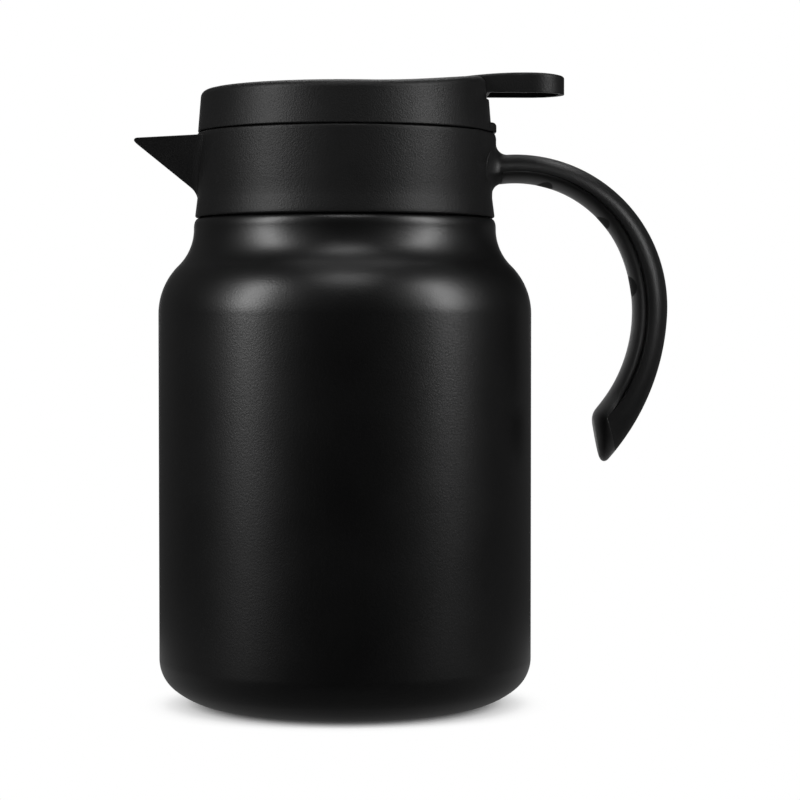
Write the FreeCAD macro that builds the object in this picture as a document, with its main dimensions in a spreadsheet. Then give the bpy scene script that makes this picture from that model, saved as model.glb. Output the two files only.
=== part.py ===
"""Insulated teapot with a lift-off lid and a thumb lever that opens a sprung pouring valve.

A double-walled steel body carries a plastic collar moulded with a beak spout and a C-shaped handle.
Millimetres, +Z up. The origin is the centre of the base's underside, +X points to the handle and
-X to the spout.
"""
import FreeCAD
import Part
import Sketcher
import math
import os

Vector = FreeCAD.Vector
Rotation = FreeCAD.Rotation
Placement = FreeCAD.Placement

# Driving dimensions, in millimetres and degrees
SIZES = {
    # Steel body
    "body_radius": 60.0,
    "shoulder_inset": 11.35,
    "steel_wall": 0.6,
    "jacket_depth": 5.65,
    "foot_height": 15.0,
    "foot_side_round": 12.0,
    "foot_under_round": 26.0,
    "foot_land": 3.34,
    "side_height": 111.3,
    "shoulder_rise": 27.4,
    "shoulder_round": 21.9,
    "neck_land": 2.2,
    "rim_rise": 8.1,
    "rim_round": 1.0,
    "flask_corner": 16.0,
    # Base closure
    "cover_inset": 0.34,
    "cover_flange": 0.8,
    "cover_clearance": 0.3,
    "pan_inset": 1.0,
    "pan_depth": 4.2,
    "port_radius": 4.0,
    "port_height": 1.6,
    "getter_radius": 6.0,
    "getter_height": 2.0,
    "vacuum_gap": 1.6,
    # Collar
    "gasket_height": 1.6,
    "gasket_play": 1.0,
    "gasket_inset": 1.15,
    "collar_inset": 1.05,
    "flare_inset": 0.35,
    "flare_height": 6.5,
    "collar_height": 26.9,
    "collar_edge_round": 0.5,
    "collar_clearance": 0.3,
    # Spout
    "spout_seat": 0.7,
    "spout_reach": 20.4,
    "spout_drop": 0.5,
    "spout_fall": 1.15,
    "spout_root_depth": 21.2,
    "spout_tip_depth": 1.2,
    "spout_root_half": 15.85,
    "spout_tip_half": 1.6,
    "spout_wall": 2.0,
    "spout_lip": 1.2,
    "window_half": 9.0,
    "window_sill": 10.5,
    "window_drop": 3.4,
    # Handle, outer and inner edges as chains of two arcs that turn down and back
    "handle_width": 21.0,
    "handle_root": 3.0,
    "handle_drop": 7.0,
    "root_depth": 8.3,
    "outer_stand": 4.6,
    "outer_heading": 2.0,
    "outer_growth_one": 10.6,
    "outer_sweep_one": 93.5,
    "outer_growth_two": 22.5,
    "outer_sweep_two": 41.0,
    "inner_land": 0.53,
    "inner_heading": 3.9,
    "inner_round_one": 39.2,
    "inner_sweep_one": 78.5,
    "inner_round_two": 51.1,
    "inner_sweep_two": 57.8,
    "handle_edge_round": 4.0,
    "boss_stand": 1.25,
    "boss_chamfer": 0.7,
    "boss_drop": 0.5,
    "root_fillet": 3.6,
    # Grip strip inside the handle
    "strip_depth": 4.0,
    "strip_gap": 0.3,
    "strip_side": 0.5,
    "strip_start": 3.5,
    "strip_edge_round": 3.2,
    "cap_depth": 2.5,
    "grip_screw_radius": 1.5,
    "grip_screw_length": 4.6,
    "grip_head_radius": 3.0,
    "grip_head_height": 1.5,
    "grip_plug_height": 1.1,
    "screw_fit": 0.05,
    "head_fit": 0.2,
    # Lid cap
    "lid_seam": 0.3,
    "lid_inset": 0.2,
    "lid_draft": 1.1,
    "lid_height": 13.45,
    "lid_rise": 5.0,
    "lid_rise_run": 40.0,
    "lid_fit": 0.8,
    "lid_skin": 2.4,
    "lid_edge_round": 2.4,
    "lid_foot_round": 0.4,
    "lug_stand": 0.9,
    "lug_height": 2.7,
    "lug_chamfer": 1.3,
    "lug_half": 6.0,
    "post_radius": 3.6,
    "post_inset": 7.8,
    # Stopper, deck and their screws
    "plug_depth": 17.2,
    "plug_floor_wall": 2.0,
    "plug_clearance": 1.0,
    "plug_gap": 0.5,
    "plug_wall": 2.0,
    "plug_lower_wall": 2.6,
    "plug_stand": 2.6,
    "lid_gasket_height": 1.2,
    "web_width": 11.8,
    "web_height": 2.5,
    "deck_drop": 6.4,
    "deck_height": 2.5,
    "deck_clearance": 0.3,
    "pour_half": 10.0,
    "pour_sill": 1.8,
    "pour_margin": 0.5,
    "lid_screw_radius": 1.5,
    "lid_screw_grip": 7.0,
    "lid_head_radius": 3.0,
    "lid_head_height": 2.2,
    # Lever and its pin
    "pin_inset": 12.3,
    "pin_rise": 7.5,
    "pin_radius": 1.5,
    "pin_fit": 0.05,
    "hub_half": 4.0,
    "ear_half": 3.5,
    "ear_width": 3.0,
    "ear_gap": 0.4,
    "press_angle": 8.0,
    "lever_width": 16.0,
    "arm_gap": 2.0,
    "arm_height": 3.5,
    "fork_reach": 5.0,
    "fork_depth": 5.0,
    "fork_gap": 0.6,
    "neck_stand": 7.0,
    "tab_lead": 2.0,
    "tab_reach": 13.7,
    "tab_half": 11.0,
    "tab_sink": 0.95,
    "tab_height": 6.4,
    "tab_crest_inset": 2.0,
    "tab_crown": 150.0,
    "tab_edge_round": 0.9,
    "tab_rim": 1.8,
    "tab_hollow": 3.4,
    "notch_clearance": 0.4,
    # Valve
    "stem_radius": 3.0,
    "stem_end": 1.95,
    "stem_fit": 0.1,
    "seat_radius": 12.0,
    "flange_gap": 1.5,
    "seal_lap": 3.5,
    "seal_height": 1.2,
    "disc_inset": 0.5,
    "disc_height": 2.5,
    "clip_reach": 3.0,
    "clip_height": 0.8,
    "guide_wall": 3.0,
    "guide_length": 6.0,
    "stem_seal_width": 2.5,
    "stem_seal_height": 1.5,
    "cross_pin_radius": 1.25,
    "cross_pin_length": 16.0,
    "cross_pin_gap": 0.3,
    # Valve spring
    "spring_stand": 3.0,
    "spring_wire": 0.6,
    "spring_turns": 7,
    "spring_end_gap": 0.05,
}

QUARTERS = 4
LID_SCREW_ANGLES = (60.0, 120.0, 240.0, 300.0)
GRIP_SCREW_HEADINGS = (-10.0, -50.0, -84.0)
ON_EDGE = 0.05


class Size:
    """A number together with the sheet expression that gives it."""

    def __init__(self, value, text):
        self.value = value
        self.text = text

    def __add__(self, other):
        other = size_of(other)
        return Size(self.value + other.value, f"({self.text} + {other.text})")

    def __radd__(self, other):
        return size_of(other) + self

    def __sub__(self, other):
        other = size_of(other)
        return Size(self.value - other.value, f"({self.text} - {other.text})")

    def __rsub__(self, other):
        return size_of(other) - self

    def __mul__(self, other):
        other = size_of(other)
        return Size(self.value * other.value, f"({self.text} * {other.text})")

    def __rmul__(self, other):
        return size_of(other) * self

    def __truediv__(self, other):
        other = size_of(other)
        return Size(self.value / other.value, f"({self.text} / {other.text})")

    def __neg__(self):
        return Size(-self.value, f"(0 - {self.text})")


def size_of(number):
    """Return a plain number as a Size, and a Size as it is."""
    if isinstance(number, Size):
        return number
    return Size(float(number), repr(float(number)))


def cosine(angle):
    """Cosine of a Size in degrees."""
    return Size(math.cos(math.radians(angle.value)), f"cos({angle.text} * 1 deg)")


def sine(angle):
    """Sine of a Size in degrees."""
    return Size(math.sin(math.radians(angle.value)), f"sin({angle.text} * 1 deg)")


def root(square):
    """Square root of a Size."""
    return Size(math.sqrt(square.value), f"sqrt({square.text})")


class Sizes:
    """The sheet's values by name, each bound to its cell, and the places that follow from them."""

    def __init__(self, sheet):
        for name in SIZES:
            setattr(self, name, Size(float(getattr(sheet, name)), f"{sheet.Name}.{name}"))
        self.place_body()
        self.place_collar()
        self.place_handle()
        self.place_lid()
        self.place_valve()
        self.place_lever()

    def place_body(self):
        """Radii and heights of the steel body, from the foot up to the flask's rim."""
        foot_span = self.foot_under_round - self.foot_side_round
        self.foot_sine = (self.foot_under_round - self.foot_height) / foot_span
        self.foot_cosine = root(1 - self.foot_sine * self.foot_sine)
        self.foot_centre = self.body_radius - self.foot_side_round - foot_span * self.foot_cosine
        self.base_opening = self.foot_centre - self.foot_land
        self.cover_radius = self.foot_centre - self.cover_inset
        self.cover_top = self.steel_wall + self.cover_flange
        self.pan_radius = self.cover_radius - self.pan_inset
        self.pan_top = self.cover_top + self.pan_depth
        self.flask_floor = self.pan_top + self.getter_height + self.vacuum_gap
        self.shoulder_height = self.foot_height + self.side_height
        rise = self.shoulder_rise
        inset = self.shoulder_inset
        both_rounds = (rise * rise + inset * inset) / (2 * inset)
        self.shoulder_sine = rise / both_rounds
        self.shoulder_cosine = 1 - inset / both_rounds
        self.neck_round = both_rounds - self.shoulder_round
        self.neck_radius = self.body_radius - inset
        self.neck_start = self.shoulder_height + rise
        self.shell_top = self.neck_start + self.neck_land
        self.rim_top = self.shell_top + self.rim_rise
        self.flask_neck = self.neck_radius - self.jacket_depth
        self.flask_bore = self.flask_neck - self.steel_wall

    def place_collar(self):
        """Ring, gasket and spout, which follow the neck."""
        self.gasket_bore = self.flask_neck + self.gasket_play
        self.gasket_radius = self.neck_radius - self.gasket_inset
        self.collar_radius = self.neck_radius - self.collar_inset
        self.collar_bottom_radius = self.neck_radius - self.flare_inset
        self.collar_bore = self.flask_neck + self.collar_clearance
        self.collar_bottom = self.shell_top + self.gasket_height
        self.collar_top = self.collar_bottom + self.collar_height
        self.spout_root = self.collar_bore + self.spout_seat
        self.spout_tip = self.collar_radius + self.spout_reach
        self.spout_root_top = self.collar_top - self.spout_drop
        self.spout_tip_top = self.spout_root_top - self.spout_fall
        self.window_bottom = self.collar_bottom + self.window_sill
        self.window_top = self.collar_top - self.window_drop

    def place_handle(self):
        """Starts and radii of the handle's edges, which follow the collar."""
        self.handle_inset = self.collar_radius - self.handle_root
        self.boss_reach = self.collar_radius + self.boss_stand
        self.outer_start_x = self.collar_radius + self.outer_stand
        self.outer_start_z = self.collar_top - self.handle_drop
        self.inner_start_x = self.collar_radius + self.root_fillet + self.inner_land
        self.inner_start_z = self.outer_start_z - self.root_depth
        self.outer_round_one = self.inner_round_one + self.outer_growth_one
        self.outer_round_two = self.inner_round_two + self.outer_growth_two
        self.strip_width = self.handle_width - self.strip_side * 2

    def place_lid(self):
        """Lid cap, stopper and deck, which follow the collar and the flask's rim."""
        self.lid_bottom = self.collar_top + self.lid_seam
        self.lid_front_top = self.lid_bottom + self.lid_height
        self.lid_roof = self.lid_front_top - self.lid_skin
        self.lid_bottom_radius = self.collar_radius - self.lid_inset
        self.lid_top_radius = self.lid_bottom_radius - self.lid_draft
        self.lid_rise_start = self.lid_top_radius - self.lid_rise_run
        self.lug_reach = self.collar_radius + self.lug_stand
        self.plug_step = self.rim_top + self.lid_gasket_height
        self.plug_floor = self.plug_step - self.plug_depth
        self.seat_top = self.plug_floor + self.plug_floor_wall
        self.plug_top = self.collar_top + self.plug_stand
        self.plug_lower_radius = self.flask_bore - self.plug_clearance
        self.plug_upper_radius = self.collar_bore - self.plug_gap
        self.plug_chamber = self.plug_lower_radius - self.plug_lower_wall
        self.plug_bore = self.plug_upper_radius - self.plug_wall
        self.lid_cavity = self.plug_upper_radius + self.lid_fit
        self.web_bore = self.plug_bore - self.web_width
        self.post_circle = self.plug_bore - self.post_inset
        self.deck_floor = self.collar_top - self.deck_drop
        self.deck_top = self.deck_floor + self.deck_height
        self.web_bottom = self.deck_floor - self.web_height
        self.pour_bottom = self.plug_step + self.pour_sill
        self.pour_top = self.web_bottom - self.pour_margin

    def place_valve(self):
        """Valve, stem and spring, which follow the seat, the deck and the lever's arm."""
        self.flange_radius = self.seat_radius - self.flange_gap
        self.seal_radius = self.seat_radius + self.seal_lap
        self.disc_radius = self.seal_radius - self.disc_inset
        self.disc_bottom = self.seat_top + self.seal_height
        self.disc_top = self.disc_bottom + self.disc_height
        self.clip_radius = self.stem_radius + self.clip_reach
        self.guide_radius = self.stem_radius + self.guide_wall
        self.guide_bottom = self.deck_floor - self.guide_length
        self.stem_seal_radius = self.stem_radius + self.stem_seal_width
        self.spring_radius = self.guide_radius + self.spring_stand
        self.arm_bottom = self.deck_top + self.arm_gap
        self.arm_top = self.arm_bottom + self.arm_height
        self.cross_pin_z = self.arm_top + self.cross_pin_gap + self.cross_pin_radius
        self.stem_top = self.cross_pin_z + self.stem_end
        self.fork_half = self.stem_radius + self.fork_gap

    def place_lever(self):
        """Lever's pin, neck and tab, which follow the lid cap."""
        self.pin_x = self.lid_top_radius - self.pin_inset
        self.pin_z = self.deck_top + self.pin_rise
        self.neck_x = self.pin_x + self.neck_stand
        self.tab_start = self.pin_x + self.tab_lead
        self.tab_centre = self.lid_top_radius + self.tab_reach
        self.tab_crest = self.tab_centre - self.tab_crest_inset
        self.tab_bottom = self.lid_front_top - self.tab_sink
        self.tab_top = self.tab_bottom + self.tab_height
        self.notch_floor = self.tab_bottom - self.notch_clearance - self.pin_inset * sine(self.press_angle)


def make_sheet(document):
    """Write the driving dimensions into a spreadsheet, one named cell each."""
    sheet = document.addObject("Spreadsheet::Sheet", "sizes")
    for row, (name, value) in enumerate(SIZES.items(), start=1):
        sheet.set(f"A{row}", name)
        sheet.set(f"B{row}", str(value))
        sheet.setAlias(f"B{row}", name)
    document.recompute()
    return sheet


doc = FreeCAD.newDocument("insulated_teapot")
dim = Sizes(make_sheet(doc))
parts = {}


# Helpers for bodies, sketches and features


def new_body(name):
    """Start a sub-part as a body whose label names its file."""
    body = doc.addObject("PartDesign::Body", name)
    body.Label = name
    parts[name] = body
    return body


def new_sketch(body, plane, offset=None):
    """Add a sketch on one of the body's origin planes, raised along its normal by offset."""
    sketch = body.newObject("Sketcher::SketchObject", "outline")
    support = [item for item in body.Origin.OriginFeatures if item.Role == plane]
    sketch.AttachmentSupport = [(support[0], "")]
    sketch.MapMode = "FlatFace"
    if offset is not None:
        sketch.setExpression(".AttachmentOffset.Base.z", offset.text)
    return sketch


def tie(sketch, kind, geometry, point, length):
    """Hold one coordinate of a point to a sheet expression."""
    axis = {"DistanceX": -2, "DistanceY": -1}[kind]
    if length.value == 0:
        sketch.addConstraint(Sketcher.Constraint("PointOnObject", geometry, point, axis))
        return
    index = sketch.addConstraint(Sketcher.Constraint(kind, geometry, point, length.value))
    sketch.setExpression(f"Constraints[{index}]", length.text)


def tie_radius(sketch, geometry, radius):
    """Hold a circle's or an arc's radius to a sheet expression."""
    index = sketch.addConstraint(Sketcher.Constraint("Radius", geometry, radius.value))
    sketch.setExpression(f"Constraints[{index}]", radius.text)


def arc_between(first, last, radius, side):
    """Make the shorter arc between two points; side 1 turns left on the way, -1 turns right."""
    chord = last - first
    middle = (first + last) * 0.5
    height = math.sqrt(max(radius * radius - chord.Length ** 2 / 4, 0.0))
    left = Vector(-chord.y, chord.x, 0).normalize()
    centre = middle + left * height * side
    start, end = (first, last) if side > 0 else (last, first)
    angle_start = math.atan2(start.y - centre.y, start.x - centre.x)
    angle_end = math.atan2(end.y - centre.y, end.x - centre.x)
    if angle_end < angle_start:
        angle_end += 2 * math.pi
    return Part.ArcOfCircle(Part.Circle(centre, Vector(0, 0, 1), radius), angle_start, angle_end)


def draw(sketch, corners, bends=None):
    """Draw a closed outline through corners, each bound to the sheet.

    bends maps the number of a corner to (radius, side) where an arc leads on from it.
    """
    bends = bends or {}
    corners = [(size_of(across), size_of(along)) for across, along in corners]
    points = [Vector(across.value, along.value, 0) for across, along in corners]
    count = len(points)
    starts = []
    ends = []
    for number, point in enumerate(points):
        following = points[(number + 1) % count]
        if number in bends:
            radius, side = bends[number]
            geometry = sketch.addGeometry(arc_between(point, following, radius.value, side))
            tie_radius(sketch, geometry, radius)
            starts.append((geometry, 1 if side > 0 else 2))
            ends.append((geometry, 2 if side > 0 else 1))
        else:
            geometry = sketch.addGeometry(Part.LineSegment(point, following))
            starts.append((geometry, 1))
            ends.append((geometry, 2))
    for number in range(count):
        following = starts[(number + 1) % count]
        sketch.addConstraint(Sketcher.Constraint("Coincident", *ends[number], *following))
    for (across, along), (geometry, point) in zip(corners, starts):
        tie(sketch, "DistanceX", geometry, point, across)
        tie(sketch, "DistanceY", geometry, point, along)
    return sketch


def draw_circles(sketch, centres, radius):
    """Draw circles of one radius, their centres bound to the sheet."""
    for across, along in centres:
        across = size_of(across)
        along = size_of(along)
        middle = Vector(across.value, along.value, 0)
        geometry = sketch.addGeometry(Part.Circle(middle, Vector(0, 0, 1), radius.value))
        tie_radius(sketch, geometry, radius)
        tie(sketch, "DistanceX", geometry, 3, across)
        tie(sketch, "DistanceY", geometry, 3, along)
    return sketch


def box_corners(left, right, bottom, top):
    """Corners of an upright rectangle."""
    return [(left, bottom), (right, bottom), (right, top), (left, top)]


def revolve(body, corners, bends=None):
    """Turn an outline of (radius, height) corners about the upright axis."""
    sketch = draw(new_sketch(body, "XZ_Plane"), corners, bends)
    feature = body.newObject("PartDesign::Revolution", "turned")
    feature.Profile = sketch
    feature.ReferenceAxis = (sketch, ["V_Axis"])
    feature.Angle = 360
    doc.recompute()
    return feature


def turned(name, corners, bends=None):
    """Make a sub-part that is turned about the upright axis and nothing more."""
    body = new_body(name)
    revolve(body, corners, bends)
    return body


def pad(body, sketch, length, symmetric=False):
    """Raise a sketch along its normal, or to both sides of it."""
    feature = body.newObject("PartDesign::Pad", "pad")
    feature.Profile = sketch
    feature.setExpression("Length", size_of(length).text)
    feature.SideType = "Symmetric" if symmetric else "One side"
    doc.recompute()
    return feature


def cut(body, sketch, length, symmetric=False, along_normal=True):
    """Cut a sketch out of the body, and make sure that it took material away."""
    before = body.Shape.Volume
    feature = body.newObject("PartDesign::Pocket", "pocket")
    feature.Profile = sketch
    feature.setExpression("Length", size_of(length).text)
    feature.SideType = "Symmetric" if symmetric else "One side"
    feature.Reversed = along_normal and not symmetric
    doc.recompute()
    if not body.Shape.Volume < before:
        raise ValueError(f"a pocket in {body.Label} cut nothing")
    return feature


def round_edges(body, radius, chosen):
    """Round the edges of the body's last feature that the test chosen accepts."""
    base = body.Tip
    names = [f"Edge{number}" for number, edge in enumerate(base.Shape.Edges, start=1) if chosen(edge)]
    if not names:
        raise ValueError(f"no edge to round in {body.Label}")
    feature = body.newObject("PartDesign::Fillet", "rounded")
    feature.Base = (base, names)
    feature.setExpression("Radius", radius.text)
    doc.recompute()
    return feature


def middle_of(edge):
    """Point half way along an edge's parameter range."""
    return edge.valueAt((edge.FirstParameter + edge.LastParameter) / 2)


def cylinder(name, radius, height, base, turn=None):
    """A plain cylinder from its base point, along the axis that turn gives to +Z."""
    item = doc.addObject("Part::Cylinder", name)
    item.setExpression("Radius", size_of(radius).text)
    item.setExpression("Height", size_of(height).text)
    item.Placement = Placement(base, turn or Rotation())
    return item


def group(name, items):
    """Keep alike pieces together as one sub-part of separate solids."""
    compound = doc.addObject("Part::Compound", name)
    compound.Label = name
    compound.Links = items
    parts[name] = compound
    return compound


def screw(number, head, shank, base, turn):
    """A screw from the outside of its head at base, pointing along turn's +Z.

    head and shank are (radius, length) pairs.
    """
    seat = base + turn.multVec(Vector(0, 0, head[1].value))
    cap = cylinder(f"head_{number}", head[0], head[1], base, turn)
    stalk = cylinder(f"shank_{number}", shank[0], shank[1], seat, turn)
    joined = doc.addObject("Part::Fuse", f"screw_{number}")
    joined.Base = cap
    joined.Tool = stalk
    return joined


# Screws of the lid

lid_screw_hole = dim.lid_screw_radius + dim.screw_fit


def screw_spot(degrees):
    """Place of a lid screw's axis at a number of degrees from the handle's side."""
    angle = size_of(degrees)
    return dim.post_circle * cosine(angle), dim.post_circle * sine(angle)


screw_spots = [screw_spot(degrees) for degrees in LID_SCREW_ANGLES]


# Steel body


def shoulder_point(depth):
    """Where the shoulder's two arcs meet, on the surface at depth inside the outer face."""
    reach = dim.shoulder_round - depth
    across = dim.body_radius - dim.shoulder_round + reach * dim.shoulder_cosine
    return across, dim.shoulder_height + reach * dim.shoulder_sine


def foot_point(depth):
    """Where the foot's two arcs meet, on the surface at depth inside the outer face."""
    reach = dim.foot_side_round - depth
    across = dim.body_radius - dim.foot_side_round + reach * dim.foot_cosine
    return across, dim.foot_height - reach * dim.foot_sine


def make_outer_shell():
    """Painted jacket: rounded foot, straight side, S-shaped shoulder and a flange in to the neck."""
    wall = dim.steel_wall
    corners = [
        (dim.base_opening, 0),
        (dim.foot_centre, 0),
        foot_point(0),
        (dim.body_radius, dim.foot_height),
        (dim.body_radius, dim.shoulder_height),
        shoulder_point(0),
        (dim.neck_radius, dim.neck_start),
        (dim.neck_radius, dim.shell_top - dim.rim_round),
        (dim.neck_radius - dim.rim_round, dim.shell_top),
        (dim.flask_neck, dim.shell_top),
        (dim.flask_neck, dim.shell_top - wall),
        (dim.neck_radius - dim.rim_round, dim.shell_top - wall),
        (dim.neck_radius - wall, dim.shell_top - dim.rim_round),
        (dim.neck_radius - wall, dim.neck_start),
        shoulder_point(wall),
        (dim.body_radius - wall, dim.shoulder_height),
        (dim.body_radius - wall, dim.foot_height),
        foot_point(wall),
        (dim.foot_centre, wall),
        (dim.base_opening, wall),
    ]
    bends = {
        1: (dim.foot_under_round, 1),
        2: (dim.foot_side_round, 1),
        4: (dim.shoulder_round, 1),
        5: (dim.neck_round, -1),
        7: (dim.rim_round, 1),
        11: (dim.rim_round - wall, -1),
        13: (dim.neck_round + wall, 1),
        14: (dim.shoulder_round - wall, -1),
        16: (dim.foot_side_round - wall, -1),
        17: (dim.foot_under_round - wall, -1),
    }
    turned("outer_shell", corners, bends)


def make_inner_flask():
    """Steel liner that holds the tea, with a neck that rises through the collar."""
    wall = dim.steel_wall
    depth = dim.jacket_depth
    radius = dim.body_radius - depth
    corner_top = dim.flask_floor + dim.flask_corner
    corners = [
        (0, dim.flask_floor),
        (radius - dim.flask_corner, dim.flask_floor),
        (radius, corner_top),
        (radius, dim.shoulder_height),
        shoulder_point(depth),
        (dim.flask_neck, dim.neck_start),
        (dim.flask_neck, dim.rim_top),
        (dim.flask_bore, dim.rim_top),
        (dim.flask_bore, dim.neck_start),
        shoulder_point(depth + wall),
        (radius - wall, dim.shoulder_height),
        (radius - wall, corner_top),
        (radius - dim.flask_corner, dim.flask_floor + wall),
        (0, dim.flask_floor + wall),
    ]
    bends = {
        1: (dim.flask_corner, 1),
        3: (dim.shoulder_round - depth, 1),
        4: (dim.neck_round + depth, -1),
        8: (dim.neck_round + depth + wall, 1),
        9: (dim.shoulder_round - depth - wall, -1),
        11: (dim.flask_corner - wall, -1),
    }
    turned("inner_flask", corners, bends)


def make_base():
    """Cover plate flush with the foot, vacuum bottom pan, sealed pump-out port and getter pill."""
    wall = dim.steel_wall
    cover_top = dim.cover_top
    pan_top = dim.pan_top
    cover_step = dim.base_opening - dim.cover_clearance
    turned("base_cover", [
        (0, 0),
        (cover_step, 0),
        (cover_step, wall),
        (dim.cover_radius, wall),
        (dim.cover_radius, cover_top),
        (0, cover_top),
    ])
    turned("bottom_pan", [
        (dim.pan_radius - wall, cover_top),
        (dim.pan_radius, cover_top),
        (dim.pan_radius, pan_top),
        (0, pan_top),
        (0, pan_top - wall),
        (dim.pan_radius - wall, pan_top - wall),
    ])
    port_top = pan_top - wall
    turned("port_seal", box_corners(0, dim.port_radius, port_top - dim.port_height, port_top))
    turned("getter", box_corners(0, dim.getter_radius, pan_top, pan_top + dim.getter_height))


# Handle edges


class ArcChain:
    """Two tangent arcs that turn right, with points found by heading and by offset to the left."""

    def __init__(self, edge):
        heading = getattr(dim, f"{edge}_heading")
        first = getattr(dim, f"{edge}_round_one")
        second = getattr(dim, f"{edge}_round_two")
        middle = heading - getattr(dim, f"{edge}_sweep_one")
        self.start = (getattr(dim, f"{edge}_start_x"), getattr(dim, f"{edge}_start_z"))
        self.rounds = (first, second)
        self.headings = (heading, middle, middle - getattr(dim, f"{edge}_sweep_two"))
        self.joints = (self.start, self.along(self.start, first, heading, middle))

    @staticmethod
    def along(start, radius, heading, later):
        """Where an arc from start has come to when its heading has turned to later."""
        across = start[0] + radius * (sine(heading) - sine(later))
        return across, start[1] + radius * (cosine(later) - cosine(heading))

    def point(self, arc, heading, offset=0):
        """Point of arc 0 or 1 at a heading, moved offset to the outside of the bend."""
        across, along = self.along(self.joints[arc], self.rounds[arc], self.headings[arc], heading)
        return across - offset * sine(heading), along + offset * cosine(heading)

    def before_end(self, length):
        """Heading on the second arc at an arc length before its end."""
        return self.headings[2] + length / self.rounds[1] * (180 / math.pi)

    def radius(self, arc, offset=0):
        """Radius of an arc at an offset to the outside."""
        return self.rounds[arc] + offset

    def is_on(self, place):
        """Whether a point of the model lies on the chain."""
        for arc in (0, 1):
            heading = self.headings[arc]
            across = self.joints[arc][0] + self.rounds[arc] * sine(heading)
            along = self.joints[arc][1] - self.rounds[arc] * cosine(heading)
            distance = math.hypot(place.x - across.value, place.z - along.value)
            if abs(distance - self.rounds[arc].value) < ON_EDGE:
                return True
        return False


outer_edge = ArcChain("outer")
inner_edge = ArcChain("inner")
strip_heading = inner_edge.headings[0] - dim.strip_start


def grip_station(heading):
    """Place on the strip's face and the turn that points +Z into the handle, at a heading."""
    angle = size_of(heading)
    arc = 0 if heading > inner_edge.headings[1].value else 1
    across, along = inner_edge.point(arc, angle)
    inward = Rotation(Vector(0, 1, 0), -heading)
    return Vector(across.value, 0, along.value), inward


def bore(body, place, turn, radius, depth):
    """Drill a round hole from a place, along turn's +Z."""
    sketch = new_sketch(body, "XY_Plane")
    sketch.AttachmentOffset = Placement(place, turn)
    draw_circles(sketch, [(0, 0)], radius)
    cut(body, sketch, depth)


# Collar with spout and handle


def handle_corners():
    """Outline of the handle's outer shell with the rear boss and the fillets into the collar."""
    gap = dim.cap_depth + dim.strip_gap
    outer_end = outer_edge.before_end(gap)
    inner_end = inner_edge.before_end(gap)
    boss_top = dim.collar_top - dim.boss_drop
    wall_x = dim.collar_radius
    floor_z = dim.inner_start_z - dim.root_fillet
    return [
        (dim.handle_inset, boss_top),
        (dim.handle_inset, floor_z),
        (wall_x, floor_z),
        (wall_x + dim.root_fillet, dim.inner_start_z),
        inner_edge.point(0, inner_edge.headings[0]),
        inner_edge.point(0, strip_heading),
        inner_edge.point(0, strip_heading, dim.strip_depth),
        inner_edge.point(0, inner_edge.headings[1], dim.strip_depth),
        inner_edge.point(1, inner_end, dim.strip_depth),
        outer_edge.point(1, outer_end),
        outer_edge.point(0, outer_edge.headings[1]),
        outer_edge.start,
        (dim.boss_reach, dim.outer_start_z + (dim.outer_start_x - dim.boss_reach)),
        (dim.boss_reach, boss_top - dim.boss_chamfer),
        (dim.boss_reach - dim.boss_chamfer, boss_top),
    ]


def handle_bends():
    """Arcs of the handle's outline, by corner."""
    return {
        2: (dim.root_fillet, -1),
        4: (inner_edge.radius(0), -1),
        6: (inner_edge.radius(0, dim.strip_depth), -1),
        7: (inner_edge.radius(1, dim.strip_depth), -1),
        9: (outer_edge.radius(1), 1),
        10: (outer_edge.radius(0), 1),
        11: (dim.outer_start_x - dim.boss_reach, -1),
    }


def spout_section(body, reach, half, top, depth):
    """Section of the spout at a distance in front: a chord with a round belly below it."""
    sketch = new_sketch(body, "YZ_Plane", -reach)
    radius = (half * half + depth * depth) / (2 * depth)
    middle = Vector(0, (top - depth + radius).value, 0)
    lift = math.asin(max(-1.0, min(1.0, (depth - radius).value / radius.value)))
    circle = Part.Circle(middle, Vector(0, 0, 1), radius.value)
    belly = sketch.addGeometry(Part.ArcOfCircle(circle, math.pi - lift, 2 * math.pi + lift))
    left = Vector(-half.value, top.value, 0)
    right = Vector(half.value, top.value, 0)
    chord = sketch.addGeometry(Part.LineSegment(right, left))
    sketch.addConstraint(Sketcher.Constraint("Coincident", belly, 2, chord, 1))
    sketch.addConstraint(Sketcher.Constraint("Coincident", chord, 2, belly, 1))
    tie_radius(sketch, belly, radius)
    for point, across in ((1, half), (2, -half)):
        tie(sketch, "DistanceX", chord, point, across)
        tie(sketch, "DistanceY", chord, point, top)
    return sketch


def loft(body, kind, sections):
    """Join two sections into an added or a taken solid."""
    feature = body.newObject(f"PartDesign::{kind}", "loft")
    feature.Profile = sections[0]
    feature.Sections = sections[1:]
    doc.recompute()
    return feature


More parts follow.
